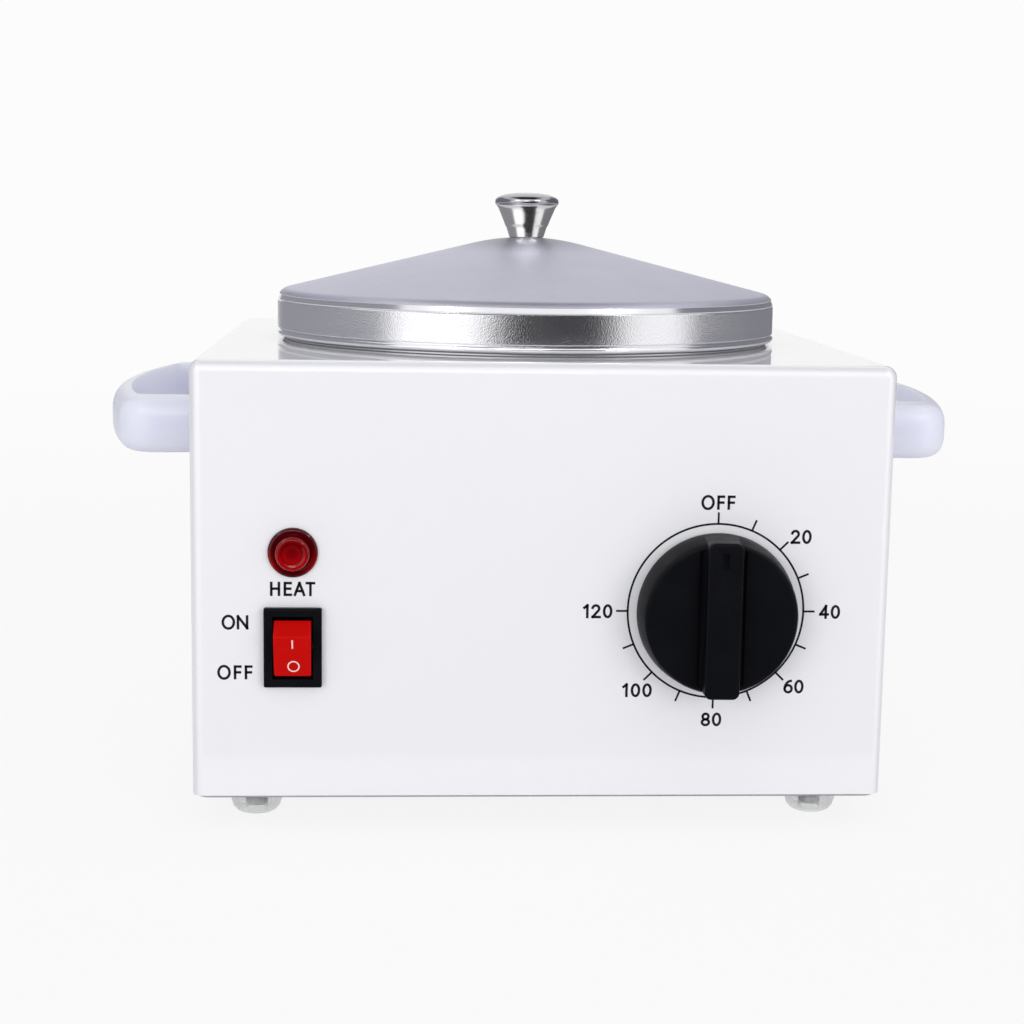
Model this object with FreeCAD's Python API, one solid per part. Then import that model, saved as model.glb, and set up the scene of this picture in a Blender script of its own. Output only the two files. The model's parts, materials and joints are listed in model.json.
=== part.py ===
import FreeCAD, Part
import math
import os

# Candle wax melter: a square sheet-steel case with a heated well, a lift-out pot and a lid.
# Millimetres, +Z up, the control panel faces -Y. The origin is on the floor, under the
# middle of the whole object, so the case sits a little behind it.

# Case and base plate
case_width = 180.0
case_depth = 180.0
case_height = 112.7
case_sheet = 1.0
case_bend = 3.0
case_flange = 12.0
plate_sheet = 0.8
plate_inset = 1.2
vent_length = 34.0
vent_width = 4.0
vent_pitch = 11.0
vents_per_side = 4
panel_clearance = 0.2

# Screws, nuts and washers: small ones are 3 mm, middle ones 4 mm
small_screw_radius = 1.5
small_head_radius = 2.8
small_head_height = 2.0
small_nut_flats = 5.5
small_nut_height = 2.4
middle_screw_radius = 2.0
middle_head_radius = 3.8
middle_head_height = 2.4
middle_nut_flats = 7.0
middle_nut_height = 3.2
stud_radius = 2.5
stud_nut_flats = 8.0
stud_nut_height = 3.2
washer_sheet = 1.0
thread_tail = 1.1

# Feet and the screws below the case
foot_height = 7.5
foot_top_radius = 7.5
foot_bottom_radius = 5.7
foot_edge_round = 1.2
foot_inset = 15.5
foot_recess_depth = 3.5
foot_recess_radius = 3.0
base_screw_radius = 1.45
base_head_height = 1.8
base_screw_reach = 6.0
base_screw_spacing = 90.0

# Side handles
handle_reach = 29.4
handle_length = 126.0
handle_height = 14.8
handle_drop = 20.1
handle_bar = 5.2
handle_leg = 13.0
handle_corner = 10.0
handle_straight = 12.5
grip_corner = 3.5
grip_straight = 15.0
handle_edge_round = 4.6
handle_screw_radius = 1.9
handle_screw_reach = 11.0

# Heating well, its heater and what ties it down
pot_radius = 63.5
well_clearance = 1.0
well_sheet = 1.0
well_depth = 45.0
well_flange_margin = 2.0
well_flange_sheet = 0.8
well_corner = 7.0
heater_sheet = 2.5
heater_height = 30.0
heater_lift = 6.0
heater_gap = 12.0
strap_sheet = 0.5
strap_height = 12.0
strap_lug_reach = 13.0
strap_lug_sheet = 1.0
wrap_thickness = 7.0
wrap_height = 40.0
wrap_gap = 30.0
seat = 0.1
stud_washer_radius = 5.0
stud_tail = 4.7
shield_radius = 48.0
shield_sheet = 0.8
shield_drop = 29.0
shield_lip = 4.0

# Thermostat, dial and sensor
dial_inset = 45.3
dial_drop = 63.6
dial_gap = 1.0
dial_face_radius = 19.6
dial_flare = 1.1
dial_face_height = 8.9
dial_bar_height = 13.0
dial_bar_width = 9.0
dial_bar_draft = 0.5
dial_wall = 2.0
dial_hollow = 6.0
dial_hub_wall = 2.5
dial_groove_width = 1.3
dial_groove_depth = 1.2
pointer_width = 1.4
pointer_length = 4.2
pointer_depth = 0.8
dial_hub_recess = 1.0
pointer_inset = 2.0
shaft_radius = 3.0
shaft_flat = 1.8
shaft_grip = 9.0
shaft_seat = 10.0
fit_clearance = 0.05
thermostat_margin = 3.0
thermostat_height = 30.0
thermostat_depth = 28.0
thermostat_corner = 2.0
thermostat_head_room = 1.9
thermostat_terminal_spacing = 18.0
thermostat_terminal_drop = 6.0
thermostat_screw_reach = 7.0
blade_length = 8.0
blade_half_width = 3.15
blade_half_sheet = 0.4
bulb_radius = 3.0
bulb_length = 52.0
bulb_ahead = 25.0
clip_sheet = 0.8
clip_width = 10.0
clip_foot = 6.0
capillary_radius = 0.9

# Thermal cutout below the well
cutout_radius = 8.0
cutout_height = 8.0
cutout_behind = 32.0
cutout_ear = 15.0
cutout_hole = 11.5
cutout_ear_width = 8.0
cutout_ear_sheet = 1.5
cutout_stud_length = 6.0
cutout_terminal_spacing = 8.0

# Rocker switch
switch_inset = 26.0
switch_drop = 73.2
switch_opening_width = 10.4
switch_opening_length = 16.3
switch_wall = 1.2
bezel_margin = 1.0
bezel_thickness = 2.0
bezel_edge_round = 0.6
switch_depth = 12.0
switch_floor = 4.0
switch_terminal_spacing = 6.0
rocker_clearance = 0.45
rocker_shoulder = 1.95
rocker_rise = 5.5
rocker_tilt = 18.0
rocker_pivot_depth = 3.0
trunnion_radius = 1.0
trunnion_seat = 0.2
rocker_edge_round = 0.45
rocker_lip = 0.5
rocker_belly = 1.4
rocker_heel = 3.0
switch_blade_half_width = 2.4

# Pilot lamp
lamp_drop = 48.7
lamp_flange_margin = 1.7
lamp_flange = 1.2
lamp_dome = 2.6
lamp_dome_step = 0.3
lamp_barrel_radius = 4.7
lamp_barrel = 16.0
lamp_wall = 1.0
lamp_edge_round = 0.9
lamp_face = 1.6
lamp_holder_depth = 6.0
lamp_plug = 4.0
lamp_pin_spacing = 4.0
lamp_clip_radius = 8.0
lamp_clip_sheet = 0.5
neon_radius = 2.2
neon_length = 9.6

# Pot, its lugs and its bail
pot_sheet = 1.2
pot_corner = 8.0
pot_bead = 1.8
seat_gap = 0.3
bail_wire = 1.25
bail_gap = 1.85
lug_radius = 2.7
lug_gap = 0.85
lug_recess = 0.4

# Lid and knob
lid_gap = 1.85
lid_sheet = 0.8
lid_apex_height = 31.9
lid_slope = 0.248
lid_apex_round = 66.0
lid_shoulder = 2.5
lid_bead_width = 1.6
lid_bead_height = 2.7
lid_bead_proud = 0.2
lid_seat_drop = 0.18
knob_base_radius = 5.1
knob_rim_radius = 9.4
knob_height = 13.1
knob_screw_depth = 8.0
knob_screw_grip = 7.0
knob_washer_radius = 5.5

# Cord gland and terminal block
gland_inset = 38.0
gland_height = 24.0
gland_reach = 8.0
gland_flange_margin = 2.5
gland_barrel_radius = 6.0
gland_bore = 3.7
gland_depth = 10.0
gland_flange = 2.5
gland_nut_margin = 1.5
gland_nut_height = 3.5
block_width = 32.0
block_depth = 20.0
block_height = 16.0
block_inset = 52.0
block_behind = 46.0
block_terminal_spacing = 18.0
block_terminal_height = 7.0
block_row_spacing = 10.0
block_hole_radius = 2.2
block_hole_depth = 5.0
block_screw_grip = 6.0

# Inner wires
wire_radius = 1.1
wire_pitch = 3.0
wire_stub = 12.0
loom_height = 14.0
loom_drop = 20.0
loom_front = 44.0
loom_side = 66.0
near_lead_angle = 46.0
far_lead_angle = 72.0

# Levels and places that follow from these
plate_bottom = foot_height
case_bottom = plate_bottom + plate_sheet
case_top = case_bottom + case_height
side = case_width / 2
front = -case_depth / 2
rear = case_depth / 2
dial_x = side - dial_inset
dial_height = case_height - dial_drop
dial_base_radius = dial_face_radius + dial_flare
dial_hub_radius = shaft_radius + dial_hub_wall
dial_reach = dial_gap + dial_bar_height
thermostat_screw_spacing = 2 * (dial_base_radius - dial_wall - small_head_radius - thermostat_head_room)
thermostat_width = thermostat_screw_spacing + 2 * thermostat_margin
switch_x = switch_inset - side
switch_height = case_height - switch_drop
switch_width = switch_opening_width + 2 * switch_wall
switch_length = switch_opening_length + 2 * switch_wall
bezel_width = switch_width + 2 * bezel_margin
bezel_height = switch_length + 2 * bezel_margin
rocker_width = switch_opening_width - 2 * rocker_clearance
rocker_end = switch_opening_length / 2 - rocker_clearance
lamp_height = case_height - lamp_drop
lamp_flange_radius = lamp_barrel_radius + lamp_flange_margin
lamp_dome_radius = lamp_barrel_radius - lamp_dome_step
case_shift = (dial_reach - gland_reach) / 2
well_inner = pot_radius + well_clearance
well_outer = well_inner + well_sheet
well_floor = case_top - well_depth
well_bottom = well_floor - well_sheet
heater_inner = well_outer + seat
heater_outer = heater_inner + heater_sheet
heater_low = well_bottom + heater_lift
strap_outer = heater_outer + seat + strap_sheet
wrap_inner = strap_outer + 3 * seat
shield_low = well_bottom - shield_drop
pot_rim_radius = pot_radius - pot_sheet + pot_bead
bail_radius = pot_rim_radius + pot_bead + bail_gap + bail_wire
well_flange_radius = bail_radius + well_flange_margin
lid_radius = bail_radius + bail_wire + lid_gap + lid_sheet
gland_x = gland_inset - side
gland_flange_radius = gland_barrel_radius + gland_flange_margin
block_x = block_inset - side
block_y = rear - block_behind
lid_angle = math.atan(lid_slope)
lid_apex = case_top + lid_apex_height
lid_crown = lid_apex - lid_apex_round / math.cos(lid_angle)
knob_seat = lid_crown + lid_apex_round - lid_seat_drop
handle_z = case_top - handle_drop

UP = FreeCAD.Vector(0, 0, 1)
DOWN = FreeCAD.Vector(0, 0, -1)
RIGHT = FreeCAD.Vector(1, 0, 0)
BACK = FreeCAD.Vector(0, 1, 0)


def at(x, y, z):
    return FreeCAD.Vector(x, y, z)


def rod(radius, length, start, along=UP):
    return Part.makeCylinder(radius, length, start, along)


def tube(outer, inner, length, start, along=UP):
    return rod(outer, length, start, along).cut(rod(inner, length, start, along))


def block(x0, x1, y0, y1, z0, z1):
    return Part.makeBox(x1 - x0, y1 - y0, z1 - z0, at(x0, y0, z0))


def face(steps, place):
    """Flat face from (u, v) corners; a step of four numbers is an arc by way of the first two."""
    first = place(*steps[0])
    here = first
    edges = []
    for step in steps[1:]:
        end = place(*step[-2:])
        if len(step) == 4:
            edges.append(Part.Arc(here, place(*step[:2]), end).toShape())
        else:
            edges.append(Part.LineSegment(here, end).toShape())
        here = end
    if here.distanceToPoint(first) > 1e-6:
        edges.append(Part.LineSegment(here, first).toShape())
    return Part.Face(Part.Wire(edges))


def dome(radius, edge, pole):
    """Arc step from (radius, edge) to (0, pole), part of a ball centred on the axis."""
    ball = (radius ** 2 + (pole - edge) ** 2) / (2 * (pole - edge))
    half_angle = math.asin(radius / abs(ball)) / 2
    return (abs(ball) * math.sin(half_angle), pole - ball + ball * math.cos(half_angle), 0, pole)


def turned(steps):
    """Solid of revolution about Z from (radius, height) steps."""
    return face(steps, lambda radius, height: at(radius, 0, height)).revolve(at(0, 0, 0), UP, 360)


def hexagon(flats, length, bore, start, along=UP):
    """Hex nut with its seat at start, growing along the given direction."""
    corner = flats / math.sqrt(3)
    corners = [at(corner * math.cos(math.radians(60 * k)), corner * math.sin(math.radians(60 * k)), 0)
               for k in range(7)]
    nut = Part.Face(Part.makePolygon(corners)).extrude(at(0, 0, length))
    nut = nut.cut(rod(bore, length, at(0, 0, 0)))
    nut.Placement = FreeCAD.Placement(start, FreeCAD.Rotation(UP, along))
    return nut


def screw(radius, reach, head_radius, head_height, seat_point, along):
    """Pan-head screw: the shank runs along the given direction from the seat, the head sits behind it."""
    head = rod(head_radius, head_height, at(0, 0, -head_height))
    crown = [edge for edge in head.Edges if edge.CenterOfMass.z < -head_height + 0.01
             and edge.Length > head_radius * 5]
    head = head.makeFillet(head_height / 3, crown)
    slot = head_radius * 0.15
    arm = head_radius * 0.6
    cross = block(-arm, arm, -slot, slot, -head_height, -head_height / 2)
    cross = cross.fuse(block(-slot, slot, -arm, arm, -head_height, -head_height / 2))
    body = head.cut(cross).fuse(rod(radius, reach, at(0, 0, 0))).removeSplitter()
    body.Placement = FreeCAD.Placement(seat_point, FreeCAD.Rotation(UP, along))
    return body


def led(points, radius):
    """Round wire along straight runs, joined by the largest tangent arcs that the runs leave room for."""
    edges = []
    here = points[0]
    for before, corner, after in zip(points, points[1:], points[2:]):
        into = corner - before
        onward = after - corner
        turn = into.getAngle(onward)
        reach = 0.45 * min(into.Length, onward.Length)
        into.normalize()
        onward.normalize()
        start = corner - into * reach
        end = corner + onward * reach
        inward = onward - into
        inward.normalize()
        bend = reach / math.tan(turn / 2)
        middle = corner + inward * (bend / math.cos(turn / 2) - bend)
        edges.append(Part.LineSegment(here, start).toShape())
        edges.append(Part.Arc(start, middle, end).toShape())
        here = end
    edges.append(Part.LineSegment(here, points[-1]).toShape())
    path = Part.Wire(edges)
    section = Part.Wire(Part.makeCircle(radius, points[0], points[1] - points[0]))
    return path.makePipeShell([section], True, True)


def on_front(shape, x, height):
    """Stand a piece built with +Z outwards and +Y up on the front of the case."""
    stand = FreeCAD.Placement(at(x, front, case_bottom + height), FreeCAD.Rotation(RIGHT, 90))
    shape.Placement = stand.multiply(shape.Placement)
    return shape


def on_rear(shape, x, height):
    """Stand a piece built with +Z outwards on the back of the case."""
    stand = FreeCAD.Placement(at(x, rear, case_bottom + height), FreeCAD.Rotation(RIGHT, -90))
    shape.Placement = stand.multiply(shape.Placement)
    return shape


def foot_places():
    return {
        "front_left": (-side + foot_inset, front + foot_inset),
        "front_right": (side - foot_inset, front + foot_inset),
        "rear_left": (-side + foot_inset, rear - foot_inset),
        "rear_right": (side - foot_inset, rear - foot_inset),
    }


def base_screw_places():
    x = side - case_flange / 2 - case_sheet / 2
    y = base_screw_spacing / 2
    return [(-x, -y), (-x, y), (x, -y), (x, y)]


def handle_screw_places():
    offset = handle_length / 2 - handle_leg / 2
    return [-offset, offset]


# The case


def outer_case():
    outer = block(-side, side, front, rear, case_bottom, case_top)
    bends = [edge for edge in outer.Edges if edge.CenterOfMass.z > case_bottom + case_sheet]
    outer = outer.makeFillet(case_bend, bends)
    inside = block(-side + case_sheet, side - case_sheet, front + case_sheet, rear - case_sheet,
                   case_bottom + case_sheet, case_top - case_sheet)
    bends = [edge for edge in inside.Edges if edge.CenterOfMass.z > case_bottom + 2 * case_sheet]
    inside = inside.makeFillet(case_bend - case_sheet, bends)
    mouth = block(-side + case_flange, side - case_flange, front + case_flange, rear - case_flange,
                  case_bottom - 1, case_bottom + 2 * case_sheet)
    shell = outer.cut(inside).cut(mouth)
    wall = 4 * case_sheet
    shell = shell.cut(rod(well_outer + 2 * panel_clearance, wall, at(0, 0, case_top - 2 * case_sheet)))
    deep = -2 * case_sheet
    shell = shell.cut(on_front(rod(lamp_barrel_radius + panel_clearance, wall, at(0, 0, deep)),
                               switch_x, lamp_height))
    cut_x = switch_width / 2 + panel_clearance
    cut_y = switch_length / 2 + panel_clearance
    shell = shell.cut(on_front(block(-cut_x, cut_x, -cut_y, cut_y, deep, deep + wall),
                               switch_x, switch_height))
    shell = shell.cut(on_front(rod(shaft_radius + 2 * case_sheet, wall, at(0, 0, deep)),
                               dial_x, dial_height))
    for offset in (-thermostat_screw_spacing / 2, thermostat_screw_spacing / 2):
        hole = rod(small_screw_radius + panel_clearance, wall, at(0, 0, deep))
        shell = shell.cut(on_front(hole, dial_x + offset, dial_height))
    shell = shell.cut(on_rear(rod(gland_barrel_radius + panel_clearance, wall, at(0, 0, deep)),
                              gland_x, gland_height))
    for y in handle_screw_places():
        shell = shell.cut(rod(handle_screw_radius + panel_clearance, case_width + 2,
                              at(-side - 1, y, handle_z), RIGHT))
    for x, y in base_screw_places():
        shell = shell.cut(rod(base_screw_radius + fit_clearance, wall, at(x, y, case_bottom - case_sheet)))
    return shell


def base_plate():
    x = side - plate_inset
    y = rear - plate_inset
    plate = block(-x, x, -y, y, plate_bottom, case_bottom)
    plate = plate.makeFillet(case_bend, [edge for edge in plate.Edges if edge.Length < 2 * plate_sheet])
    for row in range(vents_per_side):
        for sign in (-1, 1):
            middle = sign * (vent_pitch * (row + 1) + 2 * stud_radius)
            vent = block(-vent_length / 2, vent_length / 2, middle - vent_width / 2, middle + vent_width / 2,
                         plate_bottom - 1, case_bottom + 1)
            upright = [edge for edge in vent.Edges if abs(edge.tangentAt(edge.FirstParameter).z) > 0.9]
            plate = plate.cut(vent.makeFillet(vent_width / 2.1, upright))
    holes = [(x, y, base_screw_radius + panel_clearance) for x, y in base_screw_places()]
    holes += [(x, y, small_screw_radius + panel_clearance) for x, y in foot_places().values()]
    holes += [(0, 0, stud_radius + panel_clearance), (block_x, block_y, small_screw_radius + fit_clearance)]
    for x, y, radius in holes:
        plate = plate.cut(rod(radius, 4 * plate_sheet, at(x, y, plate_bottom - plate_sheet)))
    return plate


def base_screws():
    return [screw(base_screw_radius, base_screw_reach, small_head_radius, base_head_height,
                  at(x, y, plate_bottom), UP)
            for x, y in base_screw_places()]


def foot():
    bore = small_screw_radius + panel_clearance / 2
    recess = foot_recess_radius
    steps = [(bore, foot_height), (foot_top_radius, foot_height), (foot_bottom_radius, 0), (recess, 0),
             (recess, foot_recess_depth), (bore, foot_recess_depth)]
    body = turned(steps)
    rim = [edge for edge in body.Edges if abs(edge.CenterOfMass.z) < 0.01
           and edge.Length > 6 * foot_bottom_radius]
    return body.makeFillet(foot_edge_round, rim)


def foot_screws():
    reach = foot_height - foot_recess_depth + plate_sheet + small_nut_height + thread_tail
    return [screw(small_screw_radius, reach, small_head_radius, small_head_height,
                  at(x, y, foot_recess_depth), UP)
            for x, y in foot_places().values()]


def foot_nuts():
    return [hexagon(small_nut_flats, small_nut_height, small_screw_radius + fit_clearance,
                    at(x, y, case_bottom))
            for x, y in foot_places().values()]


# The handles


def loop_outline(reach, half, straight, corner):
    """Half of a bowed D: a short straight leg, a round corner and a wide bow, mirrored about its middle."""
    run_in = reach - straight
    drop = half - corner
    bow = (run_in ** 2 + drop ** 2 - corner ** 2) / (2 * (run_in - corner))
    bow_x = reach - bow
    lean = math.atan2(drop, straight - bow_x)
    join = (bow_x + bow * math.cos(lean), bow * math.sin(lean))
    middle = (lean + math.pi / 2) / 2
    round_point = (straight + corner * math.cos(middle), drop + corner * math.sin(middle))
    return [
        (-1, -half), (straight, -half),
        (round_point[0], -round_point[1], join[0], -join[1]),
        (reach, 0, join[0], join[1]),
        (round_point[0], round_point[1], straight, half),
        (-1, half),
    ]


def side_handle(sign):
    place = lambda x, y: at(x, y, -handle_height / 2)
    grip = face(loop_outline(handle_reach, handle_length / 2, handle_straight, handle_corner), place)
    grip = grip.extrude(at(0, 0, handle_height))
    grip = grip.cut(block(-2, 0, -handle_length, handle_length, -handle_height, handle_height))
    rims = [edge for edge in grip.Edges if abs(abs(edge.CenterOfMass.z) - handle_height / 2) < 0.01
            and edge.CenterOfMass.x > 0.5]
    grip = grip.makeFillet(handle_edge_round, rims)
    gap = loop_outline(handle_reach - handle_bar, handle_length / 2 - handle_leg, grip_straight, grip_corner)
    grip = grip.cut(face(gap, place).extrude(at(0, 0, handle_height)))
    for y in handle_screw_places():
        grip = grip.cut(rod(handle_screw_radius, handle_screw_reach + 1, at(-1, y, 0), RIGHT))
    if sign < 0:
        grip = grip.mirror(at(0, 0, 0), RIGHT)
    grip.translate(at(sign * side, 0, handle_z))
    return grip


def handle_screws():
    wall = side - case_sheet
    return [screw(handle_screw_radius, handle_screw_reach, middle_head_radius, middle_head_height,
                  at(sign * wall, y, handle_z), at(sign, 0, 0))
            for sign in (-1, 1) for y in handle_screw_places()]


# The heating well and what surrounds it


def foot_ring(drum, low, radius):
    """The round edge at the foot of an upright drum."""
    return [edge for edge in drum.Edges if edge.CenterOfMass.z < low + 0.01 and edge.Length > 5 * radius]


def heating_well():
    cup = rod(well_outer, case_top - well_bottom, at(0, 0, well_bottom))
    cup = cup.makeFillet(well_corner, foot_ring(cup, well_bottom, well_outer))
    cup = cup.fuse(rod(well_flange_radius, well_flange_sheet, at(0, 0, case_top)))
    hollow = rod(well_inner, well_depth + 2, at(0, 0, well_floor))
    hollow = hollow.makeFillet(well_corner - well_sheet, foot_ring(hollow, well_floor, well_inner))
    return cup.cut(hollow)


def split_ring(inner, outer, low, height, gap):
    """Ring with a gap of the given width at the back."""
    ring = tube(outer, inner, height, at(0, 0, low))
    return ring.cut(block(-gap / 2, gap / 2, 0, outer + 1, low - 1, low + height + 1))


def heater_band():
    return split_ring(heater_inner, heater_outer, heater_low, heater_height, heater_gap)


def strap_middle():
    return heater_low + heater_height / 2


def heater_strap():
    low = strap_middle() - strap_height / 2
    inner = heater_outer + seat
    band = split_ring(inner, strap_outer, low, strap_height, heater_gap)
    half = heater_gap / 2
    edge_y = math.sqrt(inner ** 2 - half ** 2)
    for sign in (-1, 1):
        near, far = sorted((sign * half, sign * (half + strap_lug_sheet)))
        lug = block(near, far, edge_y, edge_y + strap_lug_reach, low, low + strap_height)
        band = band.fuse(lug)
    across = rod(middle_screw_radius + 2 * fit_clearance, 2 * heater_gap,
                 at(-heater_gap, strap_screw_y(), strap_middle()), RIGHT)
    return band.cut(across)


def strap_screw_y():
    return heater_outer + strap_lug_reach * 0.6


def strap_screw():
    start = heater_gap / 2 + strap_lug_sheet
    reach = 2 * start + middle_nut_height + 2 * thread_tail
    return screw(middle_screw_radius, reach, middle_head_radius, middle_head_height,
                 at(-start, strap_screw_y(), strap_middle()), RIGHT)


def strap_nut():
    start = heater_gap / 2 + strap_lug_sheet
    return hexagon(middle_nut_flats, middle_nut_height, middle_screw_radius + fit_clearance,
                   at(start, strap_screw_y(), strap_middle()), RIGHT)


def insulation_wrap():
    return split_ring(wrap_inner, wrap_inner + wrap_thickness, heater_low - 4, wrap_height, wrap_gap)


def well_stud():
    low = plate_bottom - stud_tail
    return rod(stud_radius, well_bottom - low, at(0, 0, low))


def stud_nuts():
    bore = stud_radius + fit_clearance
    below = plate_bottom - washer_sheet
    pieces = [tube(stud_washer_radius, bore, washer_sheet, at(0, 0, below))]
    seats = [(below, DOWN), (case_bottom, UP), (shield_low, DOWN), (shield_low + shield_sheet, UP)]
    for level, along in seats:
        pieces.append(hexagon(stud_nut_flats, stud_nut_height, bore, at(0, 0, level), along))
    return pieces


def heat_shield():
    disc = rod(shield_radius, shield_sheet, at(0, 0, shield_low))
    lip = tube(shield_radius, shield_radius - shield_sheet, shield_lip, at(0, 0, shield_low))
    return disc.fuse(lip).cut(rod(stud_radius + fit_clearance, 4 * shield_sheet, at(0, 0, shield_low - 1)))


# The thermostat, its dial and its sensor


def thermostat_body():
    half = thermostat_width / 2
    tall = thermostat_height / 2
    back = -case_sheet - thermostat_depth
    body = block(-half, half, -tall, tall, back, -case_sheet)
    corners = [edge for edge in body.Edges if abs(edge.CenterOfMass.x) > half - 0.1
               and abs(edge.CenterOfMass.y) > tall - 0.1]
    body = body.makeFillet(thermostat_corner, corners)
    body = body.cut(rod(shaft_radius + fit_clearance, shaft_seat + 1, at(0, 0, -case_sheet - shaft_seat - 1)))
    for offset in (-thermostat_screw_spacing / 2, thermostat_screw_spacing / 2):
        body = body.cut(rod(small_screw_radius, thermostat_screw_reach,
                            at(offset, 0, -case_sheet - thermostat_screw_reach)))
    return on_front(body, dial_x, dial_height)


def thermostat_screws():
    places = (-thermostat_screw_spacing / 2, thermostat_screw_spacing / 2)
    return [screw(small_screw_radius, thermostat_screw_reach, small_head_radius, small_head_height,
                  at(dial_x + offset, front, case_bottom + dial_height), BACK) for offset in places]


def blade(x, y, base, half_x, half_y):
    """Flat terminal blade pointing away from the panel, as seen by someone facing the panel."""
    return block(x - half_x, x + half_x, y - half_y, y + half_y, base - blade_length, base)


def thermostat_terminals():
    back = -case_sheet - thermostat_depth
    places = (-thermostat_terminal_spacing / 2, thermostat_terminal_spacing / 2)
    return [on_front(blade(x, -thermostat_terminal_drop, back, blade_half_sheet, blade_half_width),
                     dial_x, dial_height) for x in places]


def thermostat_shaft():
    reach = dial_gap + dial_hub_recess + shaft_grip
    shaft = rod(shaft_radius, case_sheet + shaft_seat + reach, at(0, 0, -case_sheet - shaft_seat))
    flat = block(-shaft_radius, shaft_radius, shaft_flat, shaft_radius + 1, reach - shaft_grip, reach + 1)
    return on_front(shaft.cut(flat), dial_x, dial_height)


def dial_knob():
    top = dial_bar_height
    body = turned([(0, 0), (dial_base_radius, 0), (dial_face_radius, dial_face_height),
                   (dial_face_radius, top), (0, top)])
    half = dial_bar_width / 2
    root = half + dial_bar_draft
    wide = dial_base_radius + 1
    for sign in (-1, 1):
        side_cut = [(sign * half, top + 1), (sign * half, top), (sign * root, dial_face_height),
                    (sign * root, dial_face_height - dial_groove_depth),
                    (sign * (root + dial_groove_width), dial_face_height),
                    (sign * wide, dial_face_height), (sign * wide, top + 1)]
        cutter = face(side_cut, lambda x, z: at(x, -wide, z)).extrude(at(0, 2 * wide, 0))
        body = body.cut(cutter)
    hollow = tube(dial_base_radius - dial_wall, dial_hub_radius, dial_hollow, at(0, 0, 0))
    body = body.cut(hollow)
    body = body.cut(rod(dial_hub_radius + 1, dial_hub_recess, at(0, 0, 0)))
    bore = rod(shaft_radius + fit_clearance, dial_hub_recess + shaft_grip + fit_clearance, at(0, 0, 0))
    flat = block(-shaft_radius - 1, shaft_radius + 1, shaft_flat + fit_clearance, shaft_radius + 1,
                 dial_hub_recess, dial_hub_recess + shaft_grip + 1)
    body = body.cut(bore.cut(flat))
    slot_top = dial_face_radius - pointer_inset
    slot = block(-pointer_width / 2, pointer_width / 2, slot_top - pointer_length, slot_top,
                 top - pointer_depth, top + 1)
    body = body.cut(slot)
    body.translate(at(0, 0, dial_gap))
    return on_front(body, dial_x, dial_height)


def bulb_z():
    return well_bottom - bulb_radius - seat


def sensor_bulb():
    body = rod(bulb_radius, bulb_length, at(-bulb_length / 2, -bulb_ahead, bulb_z()), RIGHT)
    ends = [edge for edge in body.Edges if edge.Length > 5 * bulb_radius
            and abs(abs(edge.CenterOfMass.x) - bulb_length / 2) < 0.01]
    return body.makeFillet(bulb_radius * 0.5, ends)


def bulb_clip():
    inner = bulb_radius + seat / 2
    outer = inner + clip_sheet
    half = clip_width / 2
    foot_reach = outer + clip_foot
    start = at(-half, -bulb_ahead, bulb_z())
    strap = rod(outer, clip_width, start, RIGHT)
    strap = strap.fuse(block(-half, half, -bulb_ahead - outer, -bulb_ahead + outer, bulb_z(), well_bottom))
    strap = strap.fuse(block(-half, half, -bulb_ahead - foot_reach, -bulb_ahead + foot_reach,
                             well_bottom - clip_sheet, well_bottom))
    room = rod(inner, clip_width, start, RIGHT)
    room = room.fuse(block(-half, half, -bulb_ahead - inner, -bulb_ahead + inner, bulb_z(), well_bottom))
    above = block(-half, half, -bulb_ahead - foot_reach, -bulb_ahead + foot_reach,
                  well_bottom, well_bottom + outer)
    return strap.cut(room).cut(above)


def capillary_tube():
    x = dial_x + 2 * wire_pitch
    y = front + case_sheet + thermostat_depth
    z = case_bottom + dial_height + wire_pitch
    return led([at(x, y, z), at(x, y + wire_stub, z), at(x, y + 2 * wire_stub, z + 2 * wire_pitch),
                at(x - 2 * wire_pitch, -bulb_ahead, bulb_z()), at(bulb_length / 2, -bulb_ahead, bulb_z())],
               capillary_radius)


# The thermal cutout


def thermal_cutout():
    top = well_bottom
    disc = rod(cutout_radius, cutout_height, at(0, cutout_behind, top - cutout_height))
    half = cutout_ear_width / 2
    ears = block(-cutout_ear, cutout_ear, cutout_behind - half, cutout_behind + half,
                 top - cutout_ear_sheet, top)
    body = disc.fuse(ears)
    for x in (-cutout_hole, cutout_hole):
        body = body.cut(rod(small_screw_radius + fit_clearance, 2 * cutout_ear_sheet,
                            at(x, cutout_behind, top - 2 * cutout_ear_sheet)))
    for x in (-cutout_terminal_spacing / 2, cutout_terminal_spacing / 2):
        body = body.fuse(block(x - blade_half_sheet, x + blade_half_sheet,
                               cutout_behind - blade_half_width, cutout_behind + blade_half_width,
                               top - cutout_height - blade_length, top - cutout_height))
    return body


def cutout_studs():
    return [rod(small_screw_radius, cutout_stud_length,
                at(x, cutout_behind, well_bottom - cutout_stud_length))
            for x in (-cutout_hole, cutout_hole)]


def cutout_nuts():
    return [hexagon(small_nut_flats, small_nut_height, small_screw_radius + fit_clearance,
                    at(x, cutout_behind, well_bottom - cutout_ear_sheet), DOWN)
            for x in (-cutout_hole, cutout_hole)]


# The rocker switch


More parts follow.
